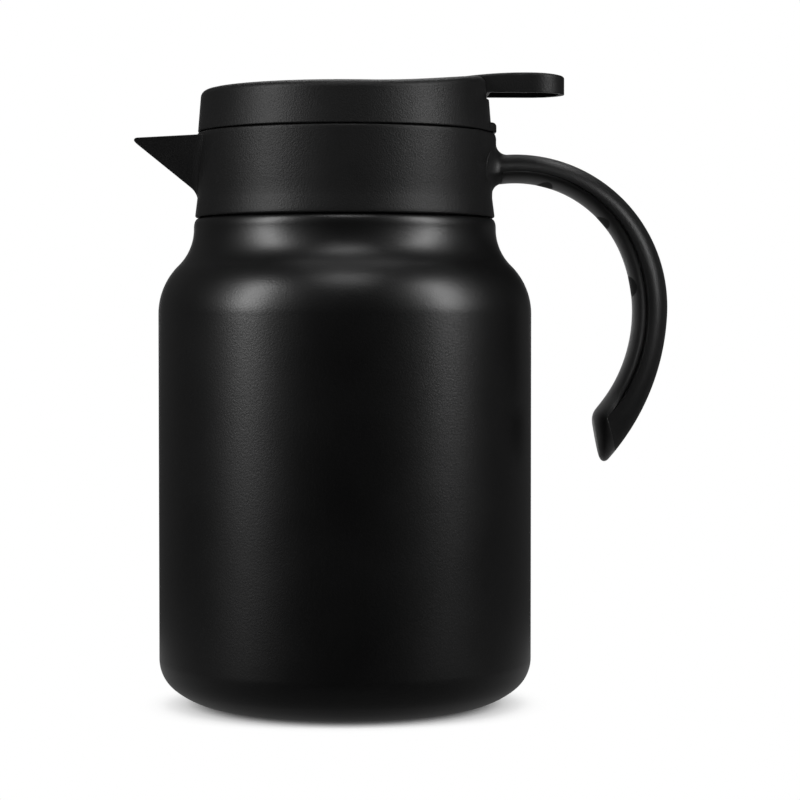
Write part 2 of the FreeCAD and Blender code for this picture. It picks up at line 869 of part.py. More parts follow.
def make_collar():
    """Collar ring moulded with the beak spout, the rear boss and the handle's outer shell."""
    body = new_body("collar")
    handle = draw(new_sketch(body, "XZ_Plane"), handle_corners(), handle_bends())
    pad(body, handle, dim.handle_width, symmetric=True)
    half = dim.handle_width.value / 2

    def is_back(edge):
        place = middle_of(edge)
        return abs(abs(place.y) - half) < ON_EDGE and outer_edge.is_on(place)

    round_edges(body, dim.handle_edge_round, is_back)
    edge = dim.collar_edge_round
    revolve(body, [
        (dim.collar_bore, dim.collar_bottom),
        (dim.collar_bottom_radius - edge, dim.collar_bottom),
        (dim.collar_bottom_radius, dim.collar_bottom + edge),
        (dim.collar_radius, dim.collar_bottom + dim.flare_height),
        (dim.collar_radius, dim.collar_top - edge),
        (dim.collar_radius - edge, dim.collar_top),
        (dim.collar_bore, dim.collar_top),
    ], {1: (edge, 1), 4: (edge, 1)})
    loft(body, "AdditiveLoft", [
        spout_section(body, dim.spout_root, dim.spout_root_half, dim.spout_root_top, dim.spout_root_depth),
        spout_section(body, dim.spout_tip, dim.spout_tip_half, dim.spout_tip_top, dim.spout_tip_depth),
    ])
    wall = dim.spout_wall
    lip = dim.spout_lip
    slope = (dim.spout_root_depth - dim.spout_tip_depth) / (dim.spout_tip - dim.spout_root)
    narrowing = (dim.spout_root_half - dim.spout_tip_half) / (dim.spout_tip - dim.spout_root)
    trough_start = dim.collar_radius - dim.spout_lip
    run = trough_start - dim.spout_root
    loft(body, "SubtractiveLoft", [
        spout_section(body, trough_start, dim.spout_root_half - narrowing * run - wall,
                      dim.spout_root_top + lip, dim.spout_root_depth - slope * run - wall + lip),
        spout_section(body, dim.spout_tip, dim.spout_tip_half - lip / 2,
                      dim.spout_tip_top + lip, dim.spout_tip_depth),
    ])
    window = new_sketch(body, "YZ_Plane", -dim.collar_bore + wall)
    draw(window, box_corners(-dim.window_half, dim.window_half, dim.window_bottom, dim.window_top))
    cut(body, window, trough_start - dim.collar_bore + wall + lip, along_normal=False)
    for heading in GRIP_SCREW_HEADINGS:
        place, turn = grip_station(heading)
        bore(body, place, turn, dim.grip_screw_radius + dim.screw_fit, shank_depth())


def shank_depth():
    """Depth below the strip's face that the grip screws' points reach, with a little room."""
    return dim.grip_plug_height + dim.grip_head_height + dim.grip_screw_length + dim.head_fit


# Grip strip


def make_grip():
    """Inner strip of the handle, which also caps its lower end, with its screws and plugs."""
    body = new_body("grip_insert")
    depth = dim.strip_depth - dim.strip_gap
    start = strip_heading - dim.strip_gap / inner_edge.rounds[0] * (180 / math.pi)
    corners = [
        inner_edge.point(0, start),
        inner_edge.point(0, start, depth),
        inner_edge.point(0, inner_edge.headings[1], depth),
        inner_edge.point(1, inner_edge.before_end(dim.cap_depth), depth),
        outer_edge.point(1, outer_edge.before_end(dim.cap_depth)),
        outer_edge.point(1, outer_edge.headings[2]),
        inner_edge.point(1, inner_edge.headings[2]),
        inner_edge.point(0, inner_edge.headings[1]),
    ]
    bends = {
        1: (inner_edge.radius(0, depth), -1),
        2: (inner_edge.radius(1, depth), -1),
        4: (outer_edge.radius(1), -1),
        6: (inner_edge.radius(1), 1),
        7: (inner_edge.radius(0), 1),
    }
    pad(body, draw(new_sketch(body, "XZ_Plane"), corners, bends), dim.strip_width, symmetric=True)
    half = dim.strip_width.value / 2

    def is_face(edge):
        place = middle_of(edge)
        return abs(abs(place.y) - half) < ON_EDGE and inner_edge.is_on(place)

    round_edges(body, dim.strip_edge_round, is_face)
    head_hole = dim.grip_head_radius + dim.head_fit
    head_depth = dim.grip_plug_height + dim.grip_head_height
    screws = []
    plugs = []
    for number, heading in enumerate(GRIP_SCREW_HEADINGS, start=1):
        place, turn = grip_station(heading)
        outside = place - turn.multVec(Vector(0, 0, dim.grip_plug_height.value))
        bore(body, place, turn, dim.grip_screw_radius + dim.screw_fit, shank_depth())
        bore(body, outside, turn, head_hole, head_depth + dim.grip_plug_height)
        head_base = place + turn.multVec(Vector(0, 0, dim.grip_plug_height.value))
        head = (dim.grip_head_radius, dim.grip_head_height)
        shank = (dim.grip_screw_radius, dim.grip_screw_length)
        screws.append(screw(f"grip_{number}", head, shank, head_base, turn))
        plugs.append(cylinder(f"plug_{number}", dim.grip_head_radius, dim.grip_plug_height, place, turn))
    group("grip_screws", screws)
    group("grip_plugs", plugs)


# Lid


def make_lid_shell():
    """Lid cap: drafted wall, top that sweeps up to the lever, notch, rear lug and screw posts."""
    body = new_body("lid_shell")
    blank_top = dim.lid_front_top + dim.lid_rise + dim.lid_skin
    draft = (dim.lid_bottom_radius - dim.lid_top_radius) / (dim.lid_front_top - dim.lid_bottom)
    foot = dim.lid_foot_round
    revolve(body, [
        (dim.lid_cavity, dim.lid_bottom),
        (dim.lid_bottom_radius - foot, dim.lid_bottom),
        (dim.lid_bottom_radius - draft * foot, dim.lid_bottom + foot),
        (dim.lid_bottom_radius - draft * (blank_top - dim.lid_bottom), blank_top),
        (0, blank_top),
        (0, dim.lid_roof),
        (dim.lid_cavity, dim.lid_roof),
    ], {1: (foot, 1)})
    run = dim.lid_top_radius - dim.lid_rise_start
    sweep = (run * run + dim.lid_rise * dim.lid_rise) / (2 * dim.lid_rise)
    far = dim.lid_top_radius + dim.lid_skin
    far_run = far - dim.lid_rise_start
    far_top = dim.lid_front_top + sweep - root(sweep * sweep - far_run * far_run)
    above = blank_top + dim.lid_skin
    crown = draw(new_sketch(body, "XZ_Plane"), [
        (-far, dim.lid_front_top),
        (dim.lid_rise_start, dim.lid_front_top),
        (far, far_top),
        (far, above),
        (-far, above),
    ], {1: (sweep, 1)})
    cut(body, crown, dim.lid_top_radius * 3, symmetric=True)
    low = dim.lid_front_top.value

    def is_rim(edge):
        place = middle_of(edge)
        wall = dim.lid_bottom_radius.value - draft.value * (place.z - dim.lid_bottom.value)
        on_wall = abs(math.hypot(place.x, place.y) - wall) < ON_EDGE
        return on_wall and edge.BoundBox.ZMin > low - ON_EDGE

    round_edges(body, dim.lid_edge_round, is_rim)
    inside = dim.lid_cavity + dim.steel_wall
    lug_top = dim.lid_bottom + dim.lug_height
    lug = draw(new_sketch(body, "XZ_Plane"), [
        (inside, dim.lid_bottom),
        (dim.lug_reach, dim.lid_bottom),
        (dim.lug_reach, lug_top - dim.lug_chamfer),
        (dim.lug_reach - dim.lug_chamfer, lug_top),
        (inside, lug_top),
    ])
    pad(body, lug, dim.lug_half * 2, symmetric=True)
    notch = new_sketch(body, "XY_Plane", dim.notch_floor)
    side = dim.tab_half + dim.notch_clearance
    draw(notch, box_corners(dim.tab_start - dim.notch_clearance, far, -side, side))
    cut(body, notch, blank_top - dim.notch_floor)
    posts = draw_circles(new_sketch(body, "XY_Plane", dim.deck_top), screw_spots, dim.post_radius)
    pad(body, posts, dim.lid_roof - dim.deck_top)
    holes = draw_circles(new_sketch(body, "XY_Plane", dim.deck_top), screw_spots, lid_screw_hole)
    cut(body, holes, dim.lid_screw_grip + dim.lid_seam)


def make_lid_inside():
    """Stopper, deck with the lever's ears, their gasket, seal and screws."""
    plug = new_body("lid_plug")
    revolve(plug, [
        (dim.seat_radius, dim.plug_floor),
        (dim.plug_lower_radius, dim.plug_floor),
        (dim.plug_lower_radius, dim.plug_step),
        (dim.plug_upper_radius, dim.plug_step),
        (dim.plug_upper_radius, dim.plug_top),
        (dim.plug_bore, dim.plug_top),
        (dim.plug_bore, dim.deck_floor),
        (dim.web_bore, dim.deck_floor),
        (dim.web_bore, dim.web_bottom),
        (dim.plug_chamber, dim.web_bottom),
        (dim.plug_chamber, dim.seat_top),
        (dim.seat_radius, dim.seat_top),
    ])
    window = new_sketch(plug, "YZ_Plane", -dim.web_bore)
    draw(window, box_corners(-dim.pour_half, dim.pour_half, dim.pour_bottom, dim.pour_top))
    cut(plug, window, dim.plug_upper_radius - dim.web_bore + dim.plug_wall, along_normal=False)
    holes = draw_circles(new_sketch(plug, "XY_Plane", dim.web_bottom), screw_spots, lid_screw_hole)
    cut(plug, holes, dim.web_height)

    turned("lid_gasket", box_corners(dim.plug_lower_radius + dim.stem_fit, dim.flask_neck, dim.rim_top, dim.plug_step))

    deck = new_body("lid_deck")
    hole = dim.stem_radius + dim.stem_fit
    recess = dim.stem_seal_radius + dim.deck_clearance
    recess_floor = dim.deck_top - dim.stem_seal_height
    revolve(deck, [
        (hole, dim.guide_bottom),
        (dim.guide_radius, dim.guide_bottom),
        (dim.guide_radius, dim.deck_floor),
        (dim.plug_bore - dim.deck_clearance, dim.deck_floor),
        (dim.plug_bore - dim.deck_clearance, dim.deck_top),
        (recess, dim.deck_top),
        (recess, recess_floor),
        (hole, recess_floor),
    ])
    ear_start = dim.lever_width / 2 + dim.ear_gap
    ear_corners = [
        (dim.pin_x - dim.ear_half, recess_floor),
        (dim.pin_x + dim.ear_half, recess_floor),
        (dim.pin_x + dim.ear_half, dim.pin_z),
        (dim.pin_x, dim.pin_z + dim.ear_half),
        (dim.pin_x - dim.ear_half, dim.pin_z),
    ]
    ear_bends = {2: (dim.ear_half, 1), 3: (dim.ear_half, 1)}
    for offset in (ear_start, -ear_start - dim.ear_width):
        pad(deck, draw(new_sketch(deck, "XZ_Plane", offset), ear_corners, ear_bends), dim.ear_width)
    pin_hole = draw_circles(new_sketch(deck, "XZ_Plane"), [(dim.pin_x, dim.pin_z)], dim.pin_radius + dim.pin_fit)
    cut(deck, pin_hole, dim.lever_width * 2, symmetric=True)
    holes = draw_circles(new_sketch(deck, "XY_Plane", dim.deck_floor), screw_spots, lid_screw_hole)
    cut(deck, holes, dim.deck_height)

    turned("stem_seal", box_corners(hole, dim.stem_seal_radius, recess_floor, dim.deck_top))

    head = (dim.lid_head_radius, dim.lid_head_height)
    shank = (dim.lid_screw_radius, dim.deck_top - dim.web_bottom + dim.lid_screw_grip)
    head_base = (dim.web_bottom - dim.lid_head_height).value
    screws = []
    for number, (across, along) in enumerate(screw_spots, start=1):
        base = Vector(across.value, along.value, head_base)
        screws.append(screw(f"lid_{number}", head, shank, base, Rotation()))
    group("lid_screws", screws)

    length = (ear_start + dim.ear_width) * 2
    along_y = Rotation(Vector(1, 0, 0), -90)
    pin_base = Vector(dim.pin_x.value, -length.value / 2, dim.pin_z.value)
    parts["lever_pin"] = cylinder("lever_pin", dim.pin_radius, length, pin_base, along_y)


# Thumb lever


def make_thumb_lever():
    """Lever on its pin: thumb tab behind the lid, neck, hub, and a fork under the stem's cross pin."""
    body = new_body("thumb_lever")
    tab = draw(new_sketch(body, "XY_Plane", dim.tab_bottom), [
        (dim.tab_start, -dim.tab_half),
        (dim.tab_centre, -dim.tab_half),
        (dim.tab_centre + dim.tab_half, 0),
        (dim.tab_centre, dim.tab_half),
        (dim.tab_start, dim.tab_half),
    ], {1: (dim.tab_half, 1), 2: (dim.tab_half, 1)})
    pad(body, tab, dim.tab_top - dim.tab_bottom)

    def crown_height(across):
        away = across - dim.tab_crest
        return dim.tab_top - dim.tab_crown + root(dim.tab_crown * dim.tab_crown - away * away)

    front = dim.tab_start - dim.tab_rim
    back = dim.tab_centre + dim.tab_half + dim.tab_rim
    above = dim.tab_top + dim.tab_rim
    crown = draw(new_sketch(body, "XZ_Plane"), [
        (front, crown_height(front)),
        (front, above),
        (back, above),
        (back, crown_height(back)),
    ], {3: (dim.tab_crown, 1)})
    cut(body, crown, dim.tab_half * 3, symmetric=True)
    top_edges = dim.tab_bottom.value + dim.tab_hollow.value

    def is_top(edge):
        return edge.BoundBox.ZMin > top_edges

    round_edges(body, dim.tab_edge_round, is_top)
    inset = dim.tab_half - dim.tab_rim
    hollow_start = dim.neck_x + dim.tab_half / 2
    hollow = draw(new_sketch(body, "XY_Plane", dim.tab_bottom), [
        (hollow_start, -inset),
        (dim.tab_centre, -inset),
        (dim.tab_centre + inset, 0),
        (dim.tab_centre, inset),
        (hollow_start, inset),
    ], {1: (inset, 1), 2: (inset, 1)})
    cut(body, hollow, dim.tab_hollow)
    root_top = dim.tab_bottom + dim.tab_rim
    arm = draw(new_sketch(body, "XZ_Plane"), [
        (-dim.fork_reach, dim.arm_bottom),
        (dim.pin_x, dim.pin_z - dim.hub_half),
        (dim.pin_x + dim.hub_half, dim.pin_z),
        (dim.neck_x, dim.tab_bottom),
        (dim.neck_x, root_top),
        (dim.tab_start, root_top),
        (dim.tab_start, dim.lid_roof - dim.tab_rim),
        (dim.pin_x - dim.hub_half, dim.pin_z + dim.hub_half / 2),
        (dim.pin_x - dim.hub_half * 2, dim.arm_top),
        (-dim.fork_reach, dim.arm_top),
    ])
    pad(body, arm, dim.lever_width, symmetric=True)
    slot = new_sketch(body, "XY_Plane", dim.arm_bottom)
    draw(slot, box_corners(-dim.fork_reach * 2, dim.fork_depth, -dim.fork_half, dim.fork_half))
    cut(body, slot, dim.arm_height)
    hole = draw_circles(new_sketch(body, "XZ_Plane"), [(dim.pin_x, dim.pin_z)], dim.pin_radius + dim.pin_fit)
    cut(body, hole, dim.lever_width * 2, symmetric=True)


# Valve


def make_valve():
    """Stem with its flange, seal, disc, clip and cross pin; it lifts off a seat in the stopper."""
    stem = new_body("valve_stem")
    revolve(stem, [
        (0, dim.plug_floor),
        (dim.flange_radius, dim.plug_floor),
        (dim.flange_radius, dim.seat_top),
        (dim.stem_radius, dim.seat_top),
        (dim.stem_radius, dim.stem_top),
        (0, dim.stem_top),
    ])
    hole = draw_circles(new_sketch(stem, "XZ_Plane"), [(0, dim.cross_pin_z)], dim.cross_pin_radius + dim.pin_fit)
    cut(stem, hole, dim.stem_radius * 3, symmetric=True)
    bore_radius = dim.stem_radius + dim.stem_fit
    turned("valve_seal", box_corners(bore_radius, dim.seal_radius, dim.seat_top, dim.disc_bottom))
    turned("valve_disc", box_corners(bore_radius, dim.disc_radius, dim.disc_bottom, dim.disc_top))
    turned("stem_clip", box_corners(bore_radius, dim.clip_radius, dim.disc_top, dim.disc_top + dim.clip_height))
    base = Vector(0, -dim.cross_pin_length.value / 2, dim.cross_pin_z.value)
    along_y = Rotation(Vector(1, 0, 0), -90)
    parts["cross_pin"] = cylinder("cross_pin", dim.cross_pin_radius, dim.cross_pin_length, base, along_y)


def biarc(start, start_way, end, end_way):
    """Two tangent arcs between two points with given unit directions."""
    span = end - start
    ways = start_way + end_way
    spread = 2 * (1 - start_way.dot(end_way))
    across = span.dot(ways)
    reach = (math.sqrt(across * across + spread * span.dot(span)) - across) / spread
    joint = (start + start_way * reach + end - end_way * reach) * 0.5
    return [half_arc(start, start_way, joint), half_arc(end, end_way * -1, joint, backward=True)]


def half_arc(start, way, end, backward=False):
    """Arc from start, leaving along way, to end; backward gives it from end to start."""
    chord = end - start
    along = Vector(chord).normalize()
    aside = way - along * way.dot(along)
    half_turn = math.atan2(aside.Length, way.dot(along))
    sagitta = chord.Length / 2 * math.tan(half_turn / 2)
    middle = (start + end) * 0.5 + aside.normalize() * sagitta
    if backward:
        start, end = end, start
    return Part.Arc(start, middle, end).toShape()


def make_valve_spring():
    """Compression spring between the valve disc and the deck, one unbroken wire."""
    radius = dim.spring_radius.value
    wire = dim.spring_wire.value
    turns = int(dim.spring_turns.value)
    low = dim.disc_top.value + wire + dim.spring_end_gap.value
    high = dim.deck_floor.value - wire - dim.spring_end_gap.value
    pitch = (high - low) / turns
    steps = turns * QUARTERS

    def place(turn):
        angle = 2 * math.pi * turn
        return Vector(radius * math.cos(angle), radius * math.sin(angle), low + pitch * turn)

    def way(turn):
        angle = 2 * math.pi * turn
        climb = pitch / (2 * math.pi)
        return Vector(-radius * math.sin(angle), radius * math.cos(angle), climb).normalize()

    edges = []
    for step in range(steps):
        first = step / QUARTERS
        last = (step + 1) / QUARTERS
        edges.extend(biarc(place(first), way(first), place(last), way(last)))
    path = Part.Wire(edges)
    section = Part.Wire([Part.makeCircle(wire, place(0), way(0))])
    spring = doc.addObject("Part::Feature", "valve_spring")
    spring.Label = "valve_spring"
    spring.Shape = path.makePipeShell([section], True, False)
    parts["valve_spring"] = spring
    print("spring: least gap to itself", round(pitch - 2 * wire, 2), "mm")


def make_collar_gasket():
    """Dark ring in the gap between the body's flange and the collar."""
    turned("collar_gasket", box_corners(dim.gasket_bore, dim.gasket_radius, dim.shell_top, dim.collar_bottom))


def check_document():
    """Stop if any object failed, or if a sub-part has no sound solid."""
    for item in doc.Objects:
        if "Invalid" in item.State or "Error" in item.State:
            raise ValueError(f"{item.Label} failed: {item.State}")
    for name, item in parts.items():
        shape = item.Shape
        if shape.isNull() or not shape.isValid() or not shape.Solids:
            raise ValueError(f"{name} has no valid solid")


def write_parts():
    """Write each sub-part to its own file."""
    os.makedirs("parts", exist_ok=True)
    for name, item in parts.items():
        item.Shape.exportStep(f"parts/{name}.step")
        print(name, "solids", len(item.Shape.Solids), "volume", round(item.Shape.Volume, 1))


def main():
    """Build every sub-part, check the document and write the files."""
    make_outer_shell()
    make_inner_flask()
    make_base()
    make_collar_gasket()
    make_collar()
    make_grip()
    make_lid_shell()
    make_lid_inside()
    make_thumb_lever()
    make_valve()
    make_valve_spring()
    doc.recompute()
    check_document()
    write_parts()


main()
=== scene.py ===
"""Looks of an insulated teapot: satin powder-coated body, grained plastic collar and lid, soft grip.

Metres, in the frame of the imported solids: +Z up, +X towards the handle, -X towards the spout.
Sizes of the rebuilt pieces are in millimetres until they become meshes.
"""

import functools
import logging
import math
from dataclasses import dataclass, field, replace
from enum import Enum

import bpy
import numpy as np
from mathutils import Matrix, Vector

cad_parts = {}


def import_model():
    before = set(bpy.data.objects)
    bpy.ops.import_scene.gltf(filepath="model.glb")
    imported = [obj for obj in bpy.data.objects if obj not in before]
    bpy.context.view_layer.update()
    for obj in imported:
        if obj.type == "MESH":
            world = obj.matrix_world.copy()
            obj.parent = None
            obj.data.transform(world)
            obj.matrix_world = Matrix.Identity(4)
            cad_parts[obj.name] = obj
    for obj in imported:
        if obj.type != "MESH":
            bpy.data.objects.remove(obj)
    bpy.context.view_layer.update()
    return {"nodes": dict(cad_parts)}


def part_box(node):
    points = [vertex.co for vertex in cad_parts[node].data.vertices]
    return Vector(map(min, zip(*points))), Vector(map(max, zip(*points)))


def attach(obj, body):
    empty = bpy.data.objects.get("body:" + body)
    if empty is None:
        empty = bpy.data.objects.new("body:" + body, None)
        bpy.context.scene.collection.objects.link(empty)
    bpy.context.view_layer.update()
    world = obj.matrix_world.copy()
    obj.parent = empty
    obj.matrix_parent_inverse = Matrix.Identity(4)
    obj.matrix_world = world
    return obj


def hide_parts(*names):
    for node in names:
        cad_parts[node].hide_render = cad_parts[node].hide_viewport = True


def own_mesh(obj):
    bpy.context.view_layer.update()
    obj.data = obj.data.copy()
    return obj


log = logging.getLogger("teapot")
MM = 0.001
SAME_POINT = 1e-5
CREASE_DEGREES = 40.0
Pair = tuple[float, float]
Triple = tuple[float, float, float]
Array = np.ndarray
Mesh = bpy.types.Mesh
Socket = bpy.types.NodeSocket


class CadBody(Enum):
    """The bodies that the rebuilt pieces ride on."""

    POT = "pot"
    LID = "lid"


# Node materials


class Graph:
    """A node tree that is filled node by node."""

    noise_roughness = 0.55

    def __init__(self, tree: bpy.types.NodeTree) -> None:
        """Start from an empty tree."""
        self.tree = tree
        tree.nodes.clear()

    def add(self, kind: str, settings: dict | None = None, *terms: object,
            **sockets: object) -> bpy.types.Node:
        """Add a node and fill its sockets, each with an output to link or a value.

        Args:
            kind: Node type, without the ShaderNode prefix.
            settings: Properties of the node itself.
            *terms: What goes into the first inputs, in order.
            **sockets: What goes into inputs by name, with _ for a space.

        Returns:
            The new node.
        """
        node = self.tree.nodes.new(f"ShaderNode{kind}")
        for name, value in (settings or {}).items():
            setattr(node, name, value)
        for socket, value in zip(node.inputs, terms):
            self.fill(socket, value)
        for name, value in sockets.items():
            self.fill(node.inputs[name.replace("_", " ")], value)
        return node

    def fill(self, socket: Socket, value: object) -> None:
        """Link an output to a socket, or set its value."""
        if isinstance(value, Socket):
            self.tree.links.new(value, socket)
        else:
            socket.default_value = value

    def math(self, operation: str, first: object, second: object) -> Socket:
        """Combine two numbers or outputs by a Math operation."""
        return self.add("Math", {"operation": operation}, first, second).outputs[0]

    def noise(self, vector: Socket, size: float, detail: float = 2.0) -> Socket:
        """Cloudy noise between 0 and 1 whose features are about size metres across."""
        node = self.add("TexNoise", Vector=vector, Scale=1 / size, Detail=detail,
                        Roughness=self.noise_roughness)
        return node.outputs["Fac"]

    def span(self, value: Socket, low: float, high: float, start: float = 0.3, end: float = 0.7) -> Socket:
        """Map the range start to end onto low to high."""
        node = self.add("MapRange", Value=value, From_Min=start, From_Max=end, To_Min=low, To_Max=high)
        return node.outputs["Result"]


def rgba(grey: float | Triple) -> tuple[float, float, float, float]:
    """Give a grey level or a colour as four channels."""
    channels = (grey, grey, grey) if isinstance(grey, (int, float)) else grey
    return (*channels, 1.0)


@dataclass(frozen=True)
class Finish:
    """A surface finish made from fine grain, cloudy gloss and a little colour drift.

    The grain is a bump of noise at the moulding's or the paint's own scale, with pits a little further
    apart. The roughness drifts over a few centimetres as handled surfaces do, and the colour drifts with it.
    Sharp edges are softened over the edge radius.
    """

    name: str
    slot: str
    color: Triple
    roughness: float
    drift: float = 0.04
    drift_size: float = 0.03
    tone_drift: float = 0.15
    grain_size: float = 0.0006
    grain_height: float = 0.00003
    grain_strength: float = 0.3
    grain_detail: float = 3.0
    pits: float = 0.0
    pit_spread: float = 1.6
    edge: float = 0.0003
    edge_samples: int = 4
    metallic: float = 0.0
    specular: float = 0.5
    sheen: float = 0.0
    sheen_roughness: float = 0.35
    stretch: Triple = (1.0, 1.0, 1.0)

    def material(self) -> bpy.types.Material:
        """Build the node material.

        Returns:
            The material, named after the finish.
        """
        made = bpy.data.materials.new(self.name)
        made.use_nodes = True
        graph = Graph(made.node_tree)
        place = graph.add("TexCoord").outputs["Object"]
        run = graph.add("Mapping", Vector=place, Scale=self.stretch).outputs["Vector"]
        cloud = graph.noise(place, self.drift_size)
        fine = graph.noise(run, self.grain_size, self.grain_detail)
        broad_gloss = graph.span(cloud, self.roughness - self.drift, self.roughness + self.drift)
        rough = graph.math("ADD", broad_gloss, graph.span(fine, -self.drift / 2, self.drift / 2))
        tone = graph.add("Mix", {"data_type": "RGBA"})
        graph.fill(tone.inputs["Factor"], graph.span(cloud, 0.0, 1.0))
        for end, factor in (("A", 1 - self.tone_drift), ("B", 1 + self.tone_drift)):
            tone.inputs[end].default_value = rgba(tuple(channel * factor for channel in self.color))
        height = fine
        if self.pits:
            pit_scale = 1 / (self.grain_size * self.pit_spread)
            cells = graph.add("TexVoronoi", Vector=run, Scale=pit_scale, Randomness=1.0)
            height = graph.math("ADD", fine, graph.math("MULTIPLY", cells.outputs["Distance"], self.pits))
        soft = graph.add("Bevel", {"samples": self.edge_samples}, Radius=self.edge)
        bump = graph.add("Bump", Strength=self.grain_strength, Distance=self.grain_height, Height=height,
                         Normal=soft.outputs["Normal"])
        shader = graph.add("BsdfPrincipled", Base_Color=tone.outputs["Result"], Roughness=rough,
                           Metallic=self.metallic, Specular_IOR_Level=self.specular,
                           Sheen_Weight=self.sheen, Sheen_Roughness=self.sheen_roughness,
                           Normal=bump.outputs["Normal"])
        graph.add("OutputMaterial", Surface=shader.outputs["BSDF"])
        return made


@functools.cache
def material_of(finish: Finish) -> bpy.types.Material:
    """Give a finish's material, built once."""
    return finish.material()


POWDER_COAT = Finish("powder_coat", "body_paint", (0.0012, 0.0012, 0.0013), 0.36, drift=0.015,
                     grain_height=0.00006, grain_strength=0.6)
GRAINED_PLASTIC = Finish("grained_plastic", "black_plastic", (0.0036, 0.0036, 0.0037), 0.45, drift=0.03,
                         grain_size=0.0005, grain_height=0.00010, grain_strength=0.9, pits=0.15,
                         specular=0.29)
SATIN_PLASTIC = replace(GRAINED_PLASTIC, name="satin_plastic", grain_height=0.00009, specular=0.34,
                        sheen=0.02)
SOFT_TOUCH = Finish("soft_touch", "grip_plastic", (0.0018, 0.0018, 0.0019), 0.48, drift=0.03,
                    grain_size=0.0004, grain_height=0.00004, grain_strength=0.4, specular=0.85, sheen=0.22)
RUBBER = Finish("rubber", "black_rubber", (0.0050, 0.0050, 0.0052), 0.62, drift=0.05,
                grain_size=0.0005, grain_strength=0.4, specular=0.45)
SILICONE = Finish("silicone", "silicone", (0.72, 0.72, 0.70), 0.45, drift=0.05,
                  grain_size=0.001, grain_height=0.00002, grain_strength=0.2)
SMOOTH_PLASTIC = Finish("smooth_plastic", "inner_plastic", (0.012, 0.012, 0.0125), 0.32, drift=0.05,
                        grain_size=0.0012, grain_height=0.00002, grain_strength=0.15)
STEEL = Finish("steel", "steel", (0.62, 0.62, 0.63), 0.28, grain_size=0.0008, grain_height=0.00002,
               grain_strength=0.25, metallic=1.0, stretch=(0.08, 0.08, 1.0))
SOLDER_GLASS = Finish("solder_glass", "solder_glass", (0.25, 0.30, 0.28), 0.12, grain_size=0.002,
                      grain_height=0.00005)

FINISHED_NODES = {
    POWDER_COAT: ("outer_shell",),
    GRAINED_PLASTIC: ("collar", "lid_shell", "thumb_lever"),
    SOFT_TOUCH: ("grip_insert",),
    RUBBER: ("collar_gasket", "grip_plugs"),
    SILICONE: ("lid_gasket", "stem_seal", "valve_seal"),
    SMOOTH_PLASTIC: ("lid_plug", "lid_deck", "valve_stem", "valve_disc"),
    STEEL: ("inner_flask", "base_cover", "bottom_pan", "getter", "grip_screws", "lid_screws", "lever_pin",
            "stem_clip", "cross_pin", "valve_spring"),
    SOLDER_GLASS: ("port_seal",),
}


def dress_nodes(nodes: dict[str, bpy.types.Object]) -> None:
    """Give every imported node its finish.

    Args:
        nodes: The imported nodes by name.
    """
    for finish, names in FINISHED_NODES.items():
        for name in names:
            mesh = nodes[name].data
            mesh.materials.clear()
            mesh.materials.append(material_of(finish))
            log.info("%s wears %s", name, finish.name)


# Surfaces as arrays


def arc(centre: Pair, radius: float, start: float, end: float, count: int) -> Array:
    """Points of an arc: centre plus radius times cosine and sine of even angles, given in degrees."""
    angle = np.radians(np.linspace(start, end, count))
    return np.column_stack((centre[0] + radius * np.cos(angle), centre[1] + radius * np.sin(angle)))


def line(start: Pair, end: Pair, count: int) -> Array:
    """Evenly spaced points from start to end."""
    return np.linspace(start, end, count)


def chain(*runs: Array) -> Array:
    """Join runs of points and drop each point that repeats the one before it."""
    points = np.concatenate(runs)
    steps = np.linalg.norm(np.diff(points, axis=0), axis=1)
    return points[np.concatenate(([True], steps > SAME_POINT))]


def full_turn(count: int) -> Array:
    """Even angles once round, in radians."""
    return np.linspace(0, 2 * np.pi, count, endpoint=False)


def between(ends: Pair, share: Array) -> Array:
    """Values on the straight way from the first end to the second."""
    return ends[0] + (ends[1] - ends[0]) * share


def drawn_in(share: Array, start: float) -> Array:
    """Quarter circle from 0 at start to 1 at the end: 1 minus the root of 1 - part squared."""
    part = np.clip((share - start) / (1 - start), 0, 1)
    return 1 - np.sqrt(1 - part ** 2)


def turned(profile: Array, angles: Array) -> Array:
    """Turn a profile about the upright axis: radius times cosine and sine of the angle, height kept.

    Args:
        profile: Radius and height of each point.
        angles: Angles in radians, one row of the grid each.

    Returns:
        Grid of points, a row for each angle.
    """
    radius, height = profile.T
    across = np.cos(angles)[:, None] * radius
    along = np.sin(angles)[:, None] * radius
    return np.stack((across, along, np.broadcast_to(height, across.shape)), axis=-1)


def smooth_step(value: Array, low: float, high: float) -> Array:
    """Smooth step from 0 at low to 1 at high: 3 p squared minus 2 p cubed of the part p in between."""
    part = np.clip((value - low) / (high - low), 0, 1)
    return part ** 2 * (3 - 2 * part)


def pushed(points: Array, push: Array) -> Array:
    """Move points off the upright axis: X and Y grow by the factor 1 plus push over the distance from it."""
    reach = np.hypot(points[..., 0], points[..., 1])
    return points * (1 + push / reach)[..., None] ** np.array((1.0, 1.0, 0.0))


def grid_faces(rows: int, columns: int, ring_rows: bool) -> Array:
    """Corner numbers of a grid's faces, with the last column joined to the first.

    Args:
        rows: Rows of the grid.
        columns: Columns of the grid.
        ring_rows: Whether the last row joins the first as well.

    Returns:
        Array of rows by columns by four corners.
    """
    numbers = np.arange(rows * columns).reshape(rows, columns)
    if ring_rows:
        numbers = np.vstack((numbers, numbers[:1]))
    numbers = np.hstack((numbers, numbers[:, :1]))
    return np.stack((numbers[:-1, :-1], numbers[:-1, 1:], numbers[1:, 1:], numbers[1:, :-1]), axis=-1)


def fan(ring: Array, hub: int) -> Array:
    """Triangles that close a ring of corner numbers towards a hub."""
    return np.stack((ring, np.roll(ring, -1), np.full_like(ring, hub)), axis=-1)


